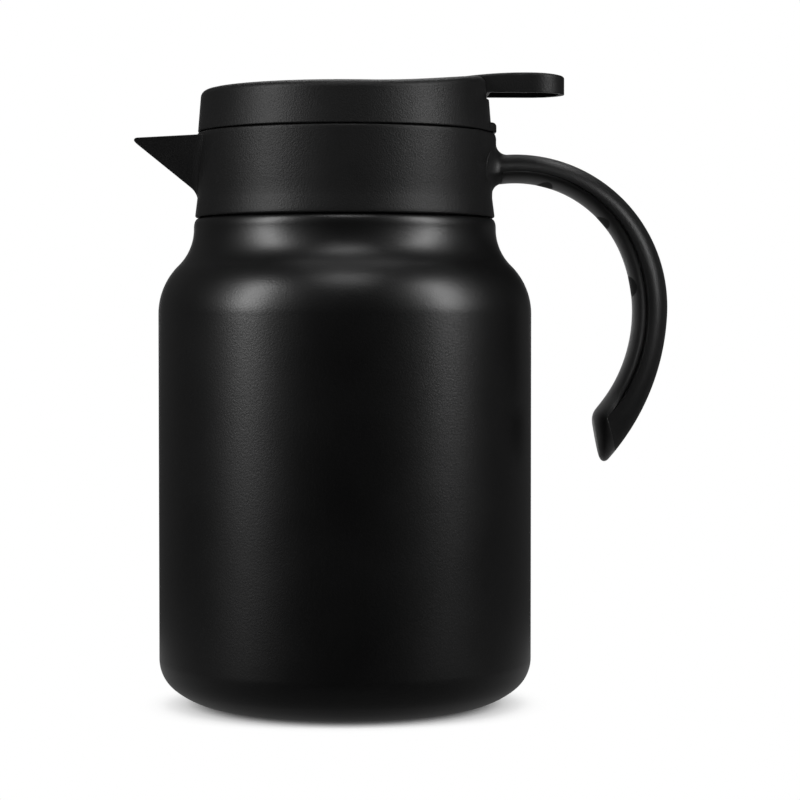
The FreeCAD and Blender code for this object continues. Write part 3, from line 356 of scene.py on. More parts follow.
def strip(first: Array, second: Array) -> Array:
    """Faces between two runs of corner numbers that are equally long."""
    return np.stack((first[:-1], first[1:], second[1:], second[:-1]), axis=-1)


def capped_faces(rows: int, columns: int) -> list[Array]:
    """Faces of a grid of rings with a fan at each end, whose two hubs are numbered after the grid.

    Args:
        rows: Number of rings.
        columns: Points of a ring.

    Returns:
        Faces between the rings, then the fans at the first and the last ring.
    """
    count = rows * columns
    return [
        grid_faces(rows, columns, False).reshape(-1, 4),
        fan(np.arange(columns), count)[:, ::-1],
        fan(np.arange(count - columns, count), count + 1),
    ]


def solid_mesh(name: str, points: Array, faces: list[Array]) -> Mesh:
    """Make a closed mesh whose faces point outwards, smooth but for its sharp edges.

    The faces are turned round where the signed volume, the sum of each corner triangle's triple product
    over six, comes out negative.

    Args:
        name: Name of the mesh.
        points: Corner points in millimetres.
        faces: Arrays of corner numbers, three or four columns each.

    Returns:
        The mesh, in metres.
    """
    volume = 0.0
    for block in faces:
        first = points[block[:, 0]]
        for turn in range(1, block.shape[1] - 1):
            side = np.cross(points[block[:, turn]], points[block[:, turn + 1]])
            volume += float(np.sum(first * side)) / 6
    ordered = [block if volume > 0 else block[:, ::-1] for block in faces]
    mesh = bpy.data.meshes.new(name)
    mesh.from_pydata((points * MM).tolist(), [], [face for block in ordered for face in block.tolist()])
    mesh.polygons.foreach_set("use_smooth", np.ones(len(mesh.polygons), dtype=bool))
    mesh.set_sharp_from_angle(angle=math.radians(CREASE_DEGREES))
    mesh.update()
    return mesh


def swept_mesh(name: str, grid: Array) -> Mesh:
    """Close a grid of rings, one a row, with a fan from the middle of each end."""
    points = np.vstack((grid.reshape(-1, 3), grid[0].mean(axis=0), grid[-1].mean(axis=0)))
    return solid_mesh(name, points, capped_faces(*grid.shape[:2]))


def turned_mesh(name: str, profile: Array, steps: int) -> Mesh:
    """Turn a closed profile of radius and height once round the upright axis."""
    points = turned(profile, full_turn(steps)).reshape(-1, 3)
    return solid_mesh(name, points, [grid_faces(steps, len(profile), True).reshape(-1, 4)])


def placed(name: str, data: bpy.types.ID) -> bpy.types.Object:
    """Make an object from mesh, lamp or camera data and link it to the scene."""
    made = bpy.data.objects.new(name, data)
    bpy.context.scene.collection.objects.link(made)
    return made


def aim(holder: bpy.types.Object, place: Triple, target: Triple) -> None:
    """Stand a lamp or a camera at a place and let it look at a target."""
    holder.location = place
    holder.rotation_euler = (Vector(target) - Vector(place)).to_track_quat("-Z", "Y").to_euler()


def add_piece(name: str, mesh: Mesh, finish: Finish, body: CadBody, *nodes: str) -> bpy.types.Object:
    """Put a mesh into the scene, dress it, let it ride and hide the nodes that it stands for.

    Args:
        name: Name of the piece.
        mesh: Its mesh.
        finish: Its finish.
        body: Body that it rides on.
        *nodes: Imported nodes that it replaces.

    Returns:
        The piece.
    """
    piece = placed(name, mesh)
    mesh.materials.append(material_of(finish))
    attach(piece, body.value)
    if nodes:
        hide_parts(*nodes)
    log.info("%s has %d faces and wears %s", name, len(mesh.polygons), finish.name)
    return piece


# Steel body


@dataclass
class SteelBody:
    """Painted jacket: rounded foot, straight side, S-shaped shoulder and a rolled rim."""

    radius: float = 60.25
    wall: float = 0.6
    opening: float = 36.0
    foot_height: float = 15.0
    foot_side_round: float = 12.0
    foot_under_round: float = 26.0
    side_top: float = 126.3
    shoulder_round: float = 21.9
    shoulder_inset: float = 11.47
    shoulder_rise: float = 27.4
    bead_top: float = 156.95
    bead_width: float = 1.4
    bead_height: float = 2.9
    bead_bore: float = 46.2
    flange_top: float = 155.9
    flange: float = 43.0
    steps: int = 224
    flat_points: int = 4
    foot_points: int = 20
    side_points: int = 24
    shoulder_points: int = 28
    bead_points: int = 10
    bead_edge: float = 0.2
    bead_edge_points: int = 3

    def face(self, depth: float) -> Array:
        """Profile of the face at a depth inside the outer one: tangent arcs joined by straight runs.

        The bead on top is a quarter of an ellipse, of its width and height less the depth.

        Args:
            depth: Distance inside the outer face.

        Returns:
            Radius and height from the base's opening up to the neck's flange.
        """
        reach = self.foot_under_round - self.foot_side_round
        tilt = math.degrees(math.asin((self.foot_under_round - self.foot_height) / reach))
        foot_centre = self.radius - self.foot_side_round - reach * math.cos(math.radians(tilt))
        both = (self.shoulder_rise ** 2 + self.shoulder_inset ** 2) / (2 * self.shoulder_inset)
        lean = math.degrees(math.asin(self.shoulder_rise / both))
        neck = self.radius - self.shoulder_inset
        neck_round = both - self.shoulder_round
        neck_start = self.side_top + self.shoulder_rise
        over = np.radians(np.linspace(0, 90, self.bead_points))
        bead = np.column_stack((
            neck - self.bead_width + (self.bead_width - depth) * np.cos(over),
            self.bead_top - self.bead_height + (self.bead_height - depth) * np.sin(over),
        ))
        under, edge, bend = self.foot_under_round, self.foot_side_round, self.shoulder_round
        low, high = self.foot_height, self.side_top
        side = self.radius - depth
        inside = self.bead_bore + depth
        crest = self.bead_top - depth
        flange = self.flange_top - depth
        return chain(
            line((self.opening, depth), (foot_centre, depth), self.flat_points),
            arc((foot_centre, under), under - depth, -90, -tilt, self.foot_points),
            arc((self.radius - edge, low), edge - depth, -tilt, 0, self.foot_points),
            line((side, low), (side, high), self.side_points),
            arc((self.radius - bend, high), bend - depth, 0, lean, self.shoulder_points),
            arc((neck + neck_round, neck_start), neck_round + depth, 180 + lean, 180, self.shoulder_points),
            bead,
            line((inside + self.bead_edge, crest), (inside, crest - self.bead_edge), self.bead_edge_points),
            line((inside, flange), (self.flange, flange), self.flat_points),
        )

    def build(self) -> None:
        """Turn the closed wall profile and dress it."""
        profile = np.concatenate((self.face(0.0), self.face(self.wall)[::-1]))
        mesh = turned_mesh("body_shell", profile, self.steps)
        add_piece("body_shell", mesh, POWDER_COAT, CadBody.POT, "outer_shell")


@dataclass
class NeckGasket:
    """Rubber ring deep in the gap between body and collar."""

    bore: float = 43.6
    radius: float = 45.9
    bottom: float = 155.93
    top: float = 157.27
    edge_round: float = 0.3
    steps: int = 160
    corner_points: int = 5

    def build(self) -> None:
        """Turn a rectangle with rounded corners and dress it."""
        edge = self.edge_round
        low, high = self.bottom + edge, self.top - edge
        near, far = self.bore + edge, self.radius - edge
        corners = (((far, low), -90), ((far, high), 0), ((near, high), 90), ((near, low), 180))
        rounds = [arc(middle, edge, start, start + 90, self.corner_points) for middle, start in corners]
        mesh = turned_mesh("neck_gasket", np.concatenate(rounds), self.steps)
        add_piece("neck_gasket", mesh, RUBBER, CadBody.POT, "collar_gasket")


# Collar with spout and handle


@dataclass(frozen=True)
class HandleEdge:
    """Edge of the handle seen from the side: two tangent arcs that turn down and back."""

    start: Pair
    heading: float
    rounds: Pair
    sweeps: Pair

    def headings(self, share: Array) -> Array:
        """Headings in degrees at shares of the turn."""
        return self.heading - sum(self.sweeps) * share

    @staticmethod
    def moved(place: Pair | Array, radius: float, before: float, now: float | Array) -> Array:
        """Follow a right turn from h to g: radius times (sin h - sin g) across and (cos g - cos h) up."""
        way = np.stack((np.sin(before) - np.sin(now), np.cos(now) - np.cos(before)), axis=-1)
        return np.asarray(place) + radius * way

    def points(self, share: Array) -> Array:
        """Points of the edge.

        Args:
            share: From 0 at the root to 1 at the end.

        Returns:
            The points, two columns.
        """
        first = math.radians(self.heading)
        middle = math.radians(self.heading - self.sweeps[0])
        now = np.radians(self.headings(share))
        joint = self.moved(self.start, self.rounds[0], first, middle)
        early = self.moved(self.start, self.rounds[0], first, now)
        late = self.moved(joint, self.rounds[1], middle, now)
        return np.where((now >= middle)[:, None], early, late)


@dataclass
class Handle:
    """C-shaped oval bar between two edges.

    The outer shell and the grip strip meet in a soft groove, which deepens from nothing at the root.
    """

    width: float = 21.0
    outer: HandleEdge = HandleEdge((52.2, 177.85), 3.6, (49.4, 76.5), (96.0, 41.7))
    inner: HandleEdge = HandleEdge((51.73, 168.5), 5.4, (37.4, 48.3), (72.8, 66.1))
    strip_depth: float = 3.4
    strip_gap: float = 0.05
    strip_inset: float = 1.25
    border: float = 1.4
    border_power: float = 0.3
    groove_run: Pair = (0.05, 0.5)
    groove_end: Pair = (0.90, 0.955)
    first_share: float = -0.014
    cap_share: float = 0.036
    cap_bulge: float = 0.93
    cap_rounds: Pair = (1.6, 4.6)
    cap_draw: float = 0.45
    tuck_share: float = 0.9
    tuck: float = 0.96
    crown: float = 0.9
    crowding: float = 0.3
    root_fillet: float = 3.6
    root_spread: float = 1.6
    root_sink: float = 2.0
    plug_shares: Triple = (0.143, 0.390, 0.616)
    plug_reach: Pair = (0.033, 1.05)
    plug_stand: float = 0.08
    plug_sink: float = 0.03
    plug_core: float = 0.1
    plug_hub: float = 2.0
    plug_shape: tuple[int, int] = (9, 40)
    columns: int = 88
    rows: int = 96
    root_rows: int = 12
    cap_rows: int = 16

    def stations(self, share: Array) -> tuple[Array, Array, Array, Array]:
        """Lines across the handle at shares of the turn.

        The seam's seat lies on the line from the inner to the outer point, strip depth off the inner edge.

        Args:
            share: From 0 at the root to 1 at the end.

        Returns:
            Inner edge's points, outer edge's points, seats and unit vectors from inner to outer.
        """
        inner = self.inner.points(share)
        outer = self.outer.points(share)
        turn = np.radians(self.inner.headings(share))
        way = np.column_stack((-np.sin(turn), np.cos(turn)))
        across = outer - inner
        deep = np.sum(across * way, axis=1, keepdims=True)
        unit = across / np.linalg.norm(across, axis=1, keepdims=True)
        return inner, outer, inner + across * (self.strip_depth / deep), unit

    def deepening(self, share: Array) -> Array:
        """How far the groove has opened, 0 at both ends and 1 between: two smooth steps."""
        return smooth_step(share, *self.groove_run) * (1 - smooth_step(share, *self.groove_end))

    def lobes(self, power: float) -> tuple[Array, Array, Array]:
        """Shares of an oval's outer side, inner side and half width, at angles that crowd at the seam.

        At an angle f they are sin f to the crown's power where the sine is positive, its size to the other
        power elsewhere, and cos f.

        Args:
            power: Power on the inner side; the lower, the fuller the oval.

        Returns:
            The three shares.
        """
        even = full_turn(self.columns)
        around = even - self.crowding * np.sin(2 * even)
        up = np.clip(np.sin(around), 0, None) ** self.crown
        down = np.clip(-np.sin(around), 0, None) ** power
        return up, down, np.cos(around)

    def rings(self, seat: Array, rise: Array, fall: Array, half: Array, power: float) -> Array:
        """Oval rings in upright planes: the seat plus the lobes times rise, fall and, along Y, half.

        Args:
            seat: Middle of each ring, across and up.
            rise: Vector from there to the outer side.
            fall: Vector from there to the inner side.
            half: Half width of each ring.
            power: Power of the inner lobe.

        Returns:
            Grid of points, a row for each ring.
        """
        up, down, side = self.lobes(power)
        flat = seat[:, None] + rise[:, None] * up[:, None] + fall[:, None] * down[:, None]
        return np.stack((flat[..., 0], half[:, None] * side, flat[..., 1]), axis=-1)

    def root_rings(self, ring_radius: float, boss_stand: float) -> Array:
        """Rings that flare from the handle into the collar along a quarter of a circle.

        With an angle a from 0 to 90 degrees, the rings stand fillet times (1 - cos a) off the collar's wall
        and are wider all round by fillet times (1 - sin a). The wall curves away as the square root of
        radius squared minus Y squared, and the boss lifts the upper side off it.

        Args:
            ring_radius: Radius of the collar's wall.
            boss_stand: How far the boss stands proud of it.

        Returns:
            Grid of points, from inside the wall outwards.
        """
        turn = np.radians(np.linspace(0, 90, self.root_rows))
        stand = np.append(-self.root_sink, self.root_fillet * (1 - np.cos(turn)))[:, None]
        flare = np.append(self.root_fillet, self.root_fillet * (1 - np.sin(turn)))[:, None]
        up, down, across = self.lobes(self.crown)
        seat = self.inner.start[1] + self.strip_depth
        top = self.outer.start[1] - seat
        height = seat + up * (top + flare) - down * (self.strip_depth + flare)
        side = across * (self.width / 2 + self.root_spread * flare)
        wall = np.sqrt(ring_radius ** 2 - side ** 2) + boss_stand * up ** 2
        return np.stack((wall + stand, side, height), axis=-1)

    def back_mesh(self, root: Array) -> Mesh:
        """Outer shell of the handle: flared root, then half ovals over the seam with borders that turn in.

        Args:
            root: Rings of the root.

        Returns:
            The mesh.
        """
        run = np.linspace(0, 1 - self.cap_share, self.rows)
        share = np.append(run, 1 - self.cap_share * self.tuck_share)
        _, outer, seat, unit = self.stations(share)
        turn = self.border * self.deepening(share)[:, None]
        border = seat + unit * turn
        tuck = np.append(np.ones(self.rows), self.tuck)
        rise = (outer - border) * tuck[:, None]
        shell = self.rings(border, rise, -unit * turn, self.width / 2 * tuck, self.border_power)
        return swept_mesh("handle_back", np.concatenate((root, shell)))

    def strip_mesh(self) -> Mesh:
        """Grip strip: half ovals under the seam, then a whole oval that bulges over the lower end.

        With t from 0 to 1 along the cap, the half width is scaled by the root of 1 - (bulge times t)
        squared. Over the last stretch both edges draw in along a quarter circle of the cap's rounding.

        Returns:
            The mesh.
        """
        start = 1 - self.cap_share
        lie = np.linspace(self.first_share, start, self.rows)
        along = np.sin(np.linspace(0, np.pi / 2, self.cap_rows))
        share = np.concatenate((lie, start + (1 - start) * along))
        cap_run = np.concatenate((np.zeros(self.rows), along))
        covers = np.arange(len(share)) >= self.rows
        inner, outer, seat, unit = self.stations(share)
        drawn = drawn_in(cap_run, self.cap_draw)[:, None]
        half = self.width / 2 * np.sqrt(1 - (self.cap_bulge * cap_run) ** 2)
        narrow = half - self.strip_inset * self.deepening(share)
        lower = seat - unit * self.strip_gap
        under = self.rings(lower, np.zeros_like(unit), inner - lower, narrow, self.crown)
        inside = inner + unit * drawn * self.cap_rounds[0]
        outside = outer - unit * drawn * self.cap_rounds[1]
        cap = self.rings(seat, outside - seat, inside - seat, half, self.crown)
        return swept_mesh("grip_strip", np.where(covers[:, None, None], cap, under))

    def plug_mesh(self) -> Mesh:
        """Oval plugs on the strip's inner side, which follow its curve.

        A plug is a disc of rings: at radius p and angle q its share of the turn is its own share plus reach
        times p cos q, and its angle round the strip is straight in plus spread times p sin q. It stands off
        the strip by stand times (1 - p to the fourth), less a little, and a hub inside closes it.

        Returns:
            The mesh.
        """
        rows, columns = self.plug_shape
        radius = np.linspace(self.plug_core, 1, rows)[:, None]
        angle = full_turn(columns)
        stand = np.broadcast_to(self.plug_stand * (1 - radius ** 4) - self.plug_sink, self.plug_shape)
        turn = (self.plug_reach[1] * radius * np.sin(angle)).ravel()
        points = []
        faces = []
        for number, middle in enumerate(self.plug_shares):
            share = (middle + self.plug_reach[0] * radius * np.cos(angle)).ravel()
            inner, _, seat, unit = self.stations(share)
            lower = seat - unit * self.strip_gap
            narrow = self.width / 2 - self.strip_inset * self.deepening(share)
            deep = (inner - lower) * (np.cos(turn) ** self.crown)[:, None]
            flat = lower + deep - unit * stand.reshape(-1, 1)
            surface = np.column_stack((flat[:, 0], narrow * np.sin(turn), flat[:, 1]))
            top = surface[:columns].mean(axis=0)
            hub = top + np.array((unit[0, 0], 0.0, unit[0, 1])) * self.plug_hub
            points.append(np.vstack((surface, top, hub)))
            first = number * len(points[0])
            faces.extend(block + first for block in capped_faces(rows, columns))
        return solid_mesh("plug_faces", np.vstack(points), faces)


@dataclass
class Collar:
    """Plastic collar: ring with rounded edges, beak spout, rear boss and handle."""

    bore: float = 43.3
    radius: float = 47.6
    bottom_radius: float = 48.35
    bottom: float = 157.3
    top: float = 184.4
    flare_height: float = 6.5
    edge_round: float = 0.6
    window_half: float = 6.4
    window_bottom: float = 173.5
    window_top: float = 181.0
    boss_stand: float = 1.25
    boss_sides: Pair = (8.0, 15.0)
    boss_rise: Pair = (166.0, 172.0)
    boss_shoulder: float = 1.4
    boss_fall: float = 0.35
    boss_skin: float = 0.7
    spout_reach: Pair = (44.0, 68.0)
    spout_halves: Pair = (15.85, 1.6)
    spout_tops: Pair = (183.3, 183.0)
    spout_depths: Pair = (20.9, 1.2)
    spout_walls: Pair = (2.0, 0.45)
    spout_keel: float = 1.35
    spout_fillet: float = 2.2
    spout_sink: float = 0.06
    trough_run: Pair = (0.085, 0.13)
    least_depth: float = 0.05
    tip_share: float = 0.05
    tip_drop: float = 0.65
    tip_raise: float = 0.35
    tip_narrow: float = 0.6
    edge_points: int = 7
    wall_points: int = 4
    lower_points: int = 6
    window_tiers: int = 9
    window_columns: int = 13
    wall_columns: int = 212
    spout_columns: int = 41
    spout_rows: int = 29
    fillet_rows: int = 9
    handle: Handle = field(default_factory=Handle)

    def ring_mesh(self) -> Mesh:
        """Ring turned from its wall profile, with the pouring window left open at the spout.

        The faces of the outer wall and of the bore between the window's corners are left out, and four
        strips of faces join the two openings.

        Returns:
            The mesh.
        """
        edge = self.edge_round
        tiers = self.window_tiers
        far, near, foot = self.radius, self.bore, self.bottom_radius
        start, flare_top, end = self.bottom + edge, self.bottom + self.flare_height, self.top - edge
        low, high = self.window_bottom, self.window_top
        outer = [
            arc((foot - edge, start), edge, -90, 0, self.edge_points),
            line((foot, start), (far, flare_top), self.lower_points),
            line((far, flare_top), (far, low), self.wall_points),
            line((far, low), (far, high), tiers),
            line((far, high), (far, end), self.wall_points),
            arc((far - edge, end), edge, 0, 90, self.edge_points),
        ]
        bore = [
            arc((near + edge, end), edge, 90, 180, self.edge_points),
            line((near, end), (near, high), self.wall_points),
            line((near, high), (near, low), tiers),
            line((near, low), (near, self.bottom), self.lower_points),
        ]
        profile = chain(*outer, *bore)
        out_low = len(chain(*outer[:3])) - 1
        in_high = len(chain(*outer, *bore[:2])) - 1
        out_high = out_low + tiers - 1
        in_low = in_high + tiers - 1
        span = math.asin(self.window_half / self.radius)
        opening = np.linspace(np.pi - span, np.pi + span, self.window_columns)
        closed = np.linspace(np.pi + span, 3 * np.pi - span, self.wall_columns)
        angles = np.concatenate((opening, closed[1:-1]))
        columns = len(profile)
        faces = grid_faces(len(angles), columns, True)
        keep = np.ones(faces.shape[:2], dtype=bool)
        last = len(opening) - 1
        keep[:last, out_low:out_high] = False
        keep[:last, in_high:in_low] = False
        numbers = np.arange(len(angles) * columns).reshape(len(angles), columns)
        span_numbers = numbers[:last + 1]
        outside = span_numbers[:, out_low:out_high + 1]
        inside = span_numbers[:, in_high:in_low + 1][:, ::-1]
        sill = strip(outside[::-1, 0], inside[::-1, 0])
        head = strip(outside[:, -1], inside[:, -1])
        left = strip(outside[0], inside[0])
        right = strip(outside[-1, ::-1], inside[-1, ::-1])
        points = self.bulged(turned(profile, angles).reshape(-1, 3))
        return solid_mesh("collar_ring", points, [faces[keep], sill, head, left, right])

    def bulged(self, points: Array) -> Array:
        """Push the rear of the wall out into the boss that carries the handle.

        The push is the boss's stand times four smooth steps: one falls with the distance to the side, one
        rises with height, one takes a part back over the top edge, and one keeps the bore in its place.

        Args:
            points: Points of the plain ring.

        Returns:
            The moved points.
        """
        reach = np.hypot(points[:, 0], points[:, 1])
        middle = 1 - smooth_step(np.abs(points[:, 1]), *self.boss_sides)
        upper = smooth_step(points[:, 2], *self.boss_rise)
        edge = 1 - self.boss_fall * smooth_step(points[:, 2], self.top - self.boss_shoulder, self.top)
        wall = smooth_step(reach, self.bore + self.boss_skin, self.radius - self.boss_skin)
        return pushed(points, self.boss_stand * middle * upper * edge * wall * (points[:, 0] > 0))

    def spout_ring(self, share: Array, side: Array, inset: float | Array = 0.0) -> Array:
        """Belly of the beak: flat-sided and keeled, narrowing in a straight line to the tip.

        Across it a point lies half times side from the middle, and its height over the keel is the depth
        times the size of side to the keel's power. Over the last stretch the top, the keel and the sides
        draw in along a quarter circle.

        Args:
            share: From 0 at the root to 1 at the tip.
            side: From -1 at the left rim to 1 at the right one.
            inset: How far the wall lies inside the outer face.

        Returns:
            Points, with the shape of the arguments.
        """
        drawn = drawn_in(share, 1 - self.tip_share)
        half = (between(self.spout_halves, share) - inset) * (1 - self.tip_narrow * drawn)
        top = between(self.spout_tops, share) - self.tip_drop * drawn
        depth = between(self.spout_depths, share) - inset - (self.tip_drop + self.tip_raise) * drawn
        height = top - np.maximum(depth, self.least_depth) * (1 - np.abs(side) ** self.spout_keel)
        return np.stack((-between(self.spout_reach, share), half * side, height), axis=-1)

    def spout_mesh(self) -> Mesh:
        """Beak spout: outer belly with a fillet into the ring, level lips and the trough inside.

        Near the ring the belly's lines start on the wall, where the distance from the axis is the ring's
        radius plus fillet times (1 - cos a), and swell square to the belly by fillet times (1 - sin a),
        which fades at the rims as 1 - side to the fourth.

        Returns:
            The mesh.
        """
        across = np.linspace(-1, 1, self.spout_columns)
        turn = np.radians(np.linspace(0, 90, self.fillet_rows))
        stand = self.spout_fillet * (1 - np.cos(turn))[:, None]
        straight = 1 - self.tip_share
        root = self.spout_ring(np.zeros_like(across), across)
        step = (self.spout_ring(np.full_like(across, straight), across) - root) / straight
        square = np.sum(step[:, :2] ** 2, axis=1)
        mixed = np.sum(root[:, :2] * step[:, :2], axis=1)
        rest = np.sum(root[:, :2] ** 2, axis=1) - (self.radius + stand) ** 2
        near = (-mixed + np.sqrt(mixed ** 2 - square * rest)) / square
        run = np.sin(np.linspace(0, np.pi / 2, self.spout_rows))[1:, None]
        share = np.vstack((near[:1] - self.spout_sink, near, near[-1] + (1 - near[-1]) * run))
        side = np.broadcast_to(across, share.shape)
        swell = np.zeros(len(share))
        swell[1:self.fillet_rows + 1] = self.spout_fillet * (1 - np.sin(turn))
        swell[0] = swell[1]
        steep = self.spout_depths[0] / self.spout_halves[0] * self.spout_keel
        slope = steep * np.sign(side) * np.abs(side) ** (self.spout_keel - 1)
        out = np.stack((np.zeros_like(share), slope, -np.ones_like(share)), axis=-1)
        out = out / np.sqrt(1 + slope ** 2)[..., None]
        rim_fade = (1 - side ** 4)[..., None]
        belly = self.spout_ring(share, side) + out * swell[:, None, None] * rim_fade
        trough_start = np.linspace(*self.trough_run, self.fillet_rows + 1)[:, None]
        trough_rest = between((self.trough_run[1], 1.0), run)
        trough_share = np.vstack((trough_start, trough_rest)) * np.ones_like(across)
        trough = self.spout_ring(trough_share, side, between(self.spout_walls, trough_share))[:, ::-1]
        grid = np.concatenate((belly, trough), axis=1)
        rows, columns, _ = grid.shape
        numbers = np.arange(rows * columns).reshape(rows, columns)
        outside, inside = np.split(numbers, 2, axis=1)
        inside = inside[:, ::-1]
        faces = [
            grid_faces(rows, columns, False).reshape(-1, 4),
            strip(outside[0], inside[0])[:, ::-1],
            strip(outside[-1], inside[-1]),
        ]
        return solid_mesh("spout", grid.reshape(-1, 3), faces)

    def build(self) -> None:
        """Make and dress the collar's pieces and the grip strip."""
        add_piece("collar_ring", self.ring_mesh(), GRAINED_PLASTIC, CadBody.POT, "collar")
        add_piece("spout", self.spout_mesh(), GRAINED_PLASTIC, CadBody.POT)
        back = self.handle.back_mesh(self.handle.root_rings(self.radius, self.boss_stand))
        add_piece("handle_back", back, SATIN_PLASTIC, CadBody.POT)
        add_piece("grip_strip", self.handle.strip_mesh(), SOFT_TOUCH, CadBody.POT, "grip_insert")
        add_piece("plug_faces", self.handle.plug_mesh(), RUBBER, CadBody.POT, "grip_plugs")


@dataclass
class LidLug:
    """Rounded lug at the lid's rear, over the plain one, which runs out into the lid's wall."""

    bore: float = 44.0
    radius: float = 47.2
    stand: float = 1.75
    sides: Pair = (6.6, 12.0)
    bottom: float = 184.72
    top: float = 187.75
    edge_round: float = 1.1
    skin: float = 1.0
    half_turn: float = 0.3
    columns: int = 61
    flat_points: int = 3
    lower_points: int = 7
    upper_points: int = 9

    def build(self) -> None:
        """Bend a bar with rounded outer edges round the axis, push its middle out and dress it.

        The push is the stand times two smooth steps: one falls with the distance to the side, and one rises
        from the bore to the outer edge.
        """
        edge = self.edge_round
        small = edge / 2
        profile = np.concatenate((
            line((self.bore, self.bottom), (self.radius - edge, self.bottom), self.flat_points),
            arc((self.radius - small, self.bottom + small), small, -90, 0, self.lower_points),
            arc((self.radius - edge, self.top - edge), edge, 0, 90, self.upper_points),
            np.array(((self.bore, self.top), (self.bore, self.top - edge))),
        ))
        grid = turned(profile, np.linspace(-self.half_turn, self.half_turn, self.columns))
        reach = np.hypot(grid[..., 0], grid[..., 1])
        middle = 1 - smooth_step(np.abs(grid[..., 1]), *self.sides)
        push = self.stand * middle * smooth_step(reach, self.bore + self.skin, self.radius - edge)
        add_piece("lid_lug", swept_mesh("lid_lug", pushed(grid, push)), GRAINED_PLASTIC, CadBody.LID)


# Valve spring


@dataclass
class ValveSpring:
    """Coil spring between the deck and the valve disc, which shortens as the valve opens."""

    wire: float = 0.6
    turns: int = 7
    fixed_end: float = 178.0
    travel: float = 4.747
    steps: int = 48
    sides: int = 14

    def coil_mesh(self, low: Vector, high: Vector) -> Mesh:
        """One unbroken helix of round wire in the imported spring's box.

        The wire's middle goes round the axis at a fixed radius and rises evenly. Each section is a circle
        set out along the way outward and along the way square to it and to the wire.

        Args:
            low: Lowest corner of the box in metres.
            high: Its highest corner.

        Returns:
            The mesh.
        """
        radius = (high.x - low.x) / MM / 2 - self.wire
        start = low.z / MM + self.wire
        rise = (high.z - low.z) / MM - 2 * self.wire
        turn = np.linspace(0, 2 * np.pi * self.turns, self.steps * self.turns + 1)
        flat = np.zeros_like(turn)
        out = np.stack((np.cos(turn), np.sin(turn), flat), axis=-1)
        along = np.stack((-radius * np.sin(turn), radius * np.cos(turn), flat + rise / turn[-1]), axis=-1)
        square = np.cross(along / np.linalg.norm(along, axis=1)[:, None], out)
        middle = radius * out + np.stack((flat, flat, start + rise * turn / turn[-1]), axis=-1)
        angle = full_turn(self.sides)[None, :, None]
        section = np.cos(angle) * out[:, None] + np.sin(angle) * square[:, None]
        grid = middle[:, None] + self.wire * section
        return swept_mesh("spring_coil", grid)

    def build(self) -> None:
        """Make and dress the spring, and give it a mesh of its own."""
        low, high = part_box("valve_spring")
        coil = add_piece("spring_coil", self.coil_mesh(low, high), STEEL, CadBody.LID, "valve_spring")
        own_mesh(coil)


# Studio


@dataclass
class Softbox:
    """A rectangular studio lamp that looks at a target."""

    name: str
    place: Triple
    target: Triple
    width: float
    height: float
    watts: float

    def build(self) -> None:
        """Make the lamp."""
        lamp = bpy.data.lights.new(self.name, "AREA")
        lamp.shape = "RECTANGLE"
        lamp.size = self.width
        lamp.size_y = self.height
        lamp.energy = self.watts
        holder = placed(self.name, lamp)
        aim(holder, self.place, self.target)
        holder.visible_camera = False
        log.info("%s stands at %s", self.name, self.place)


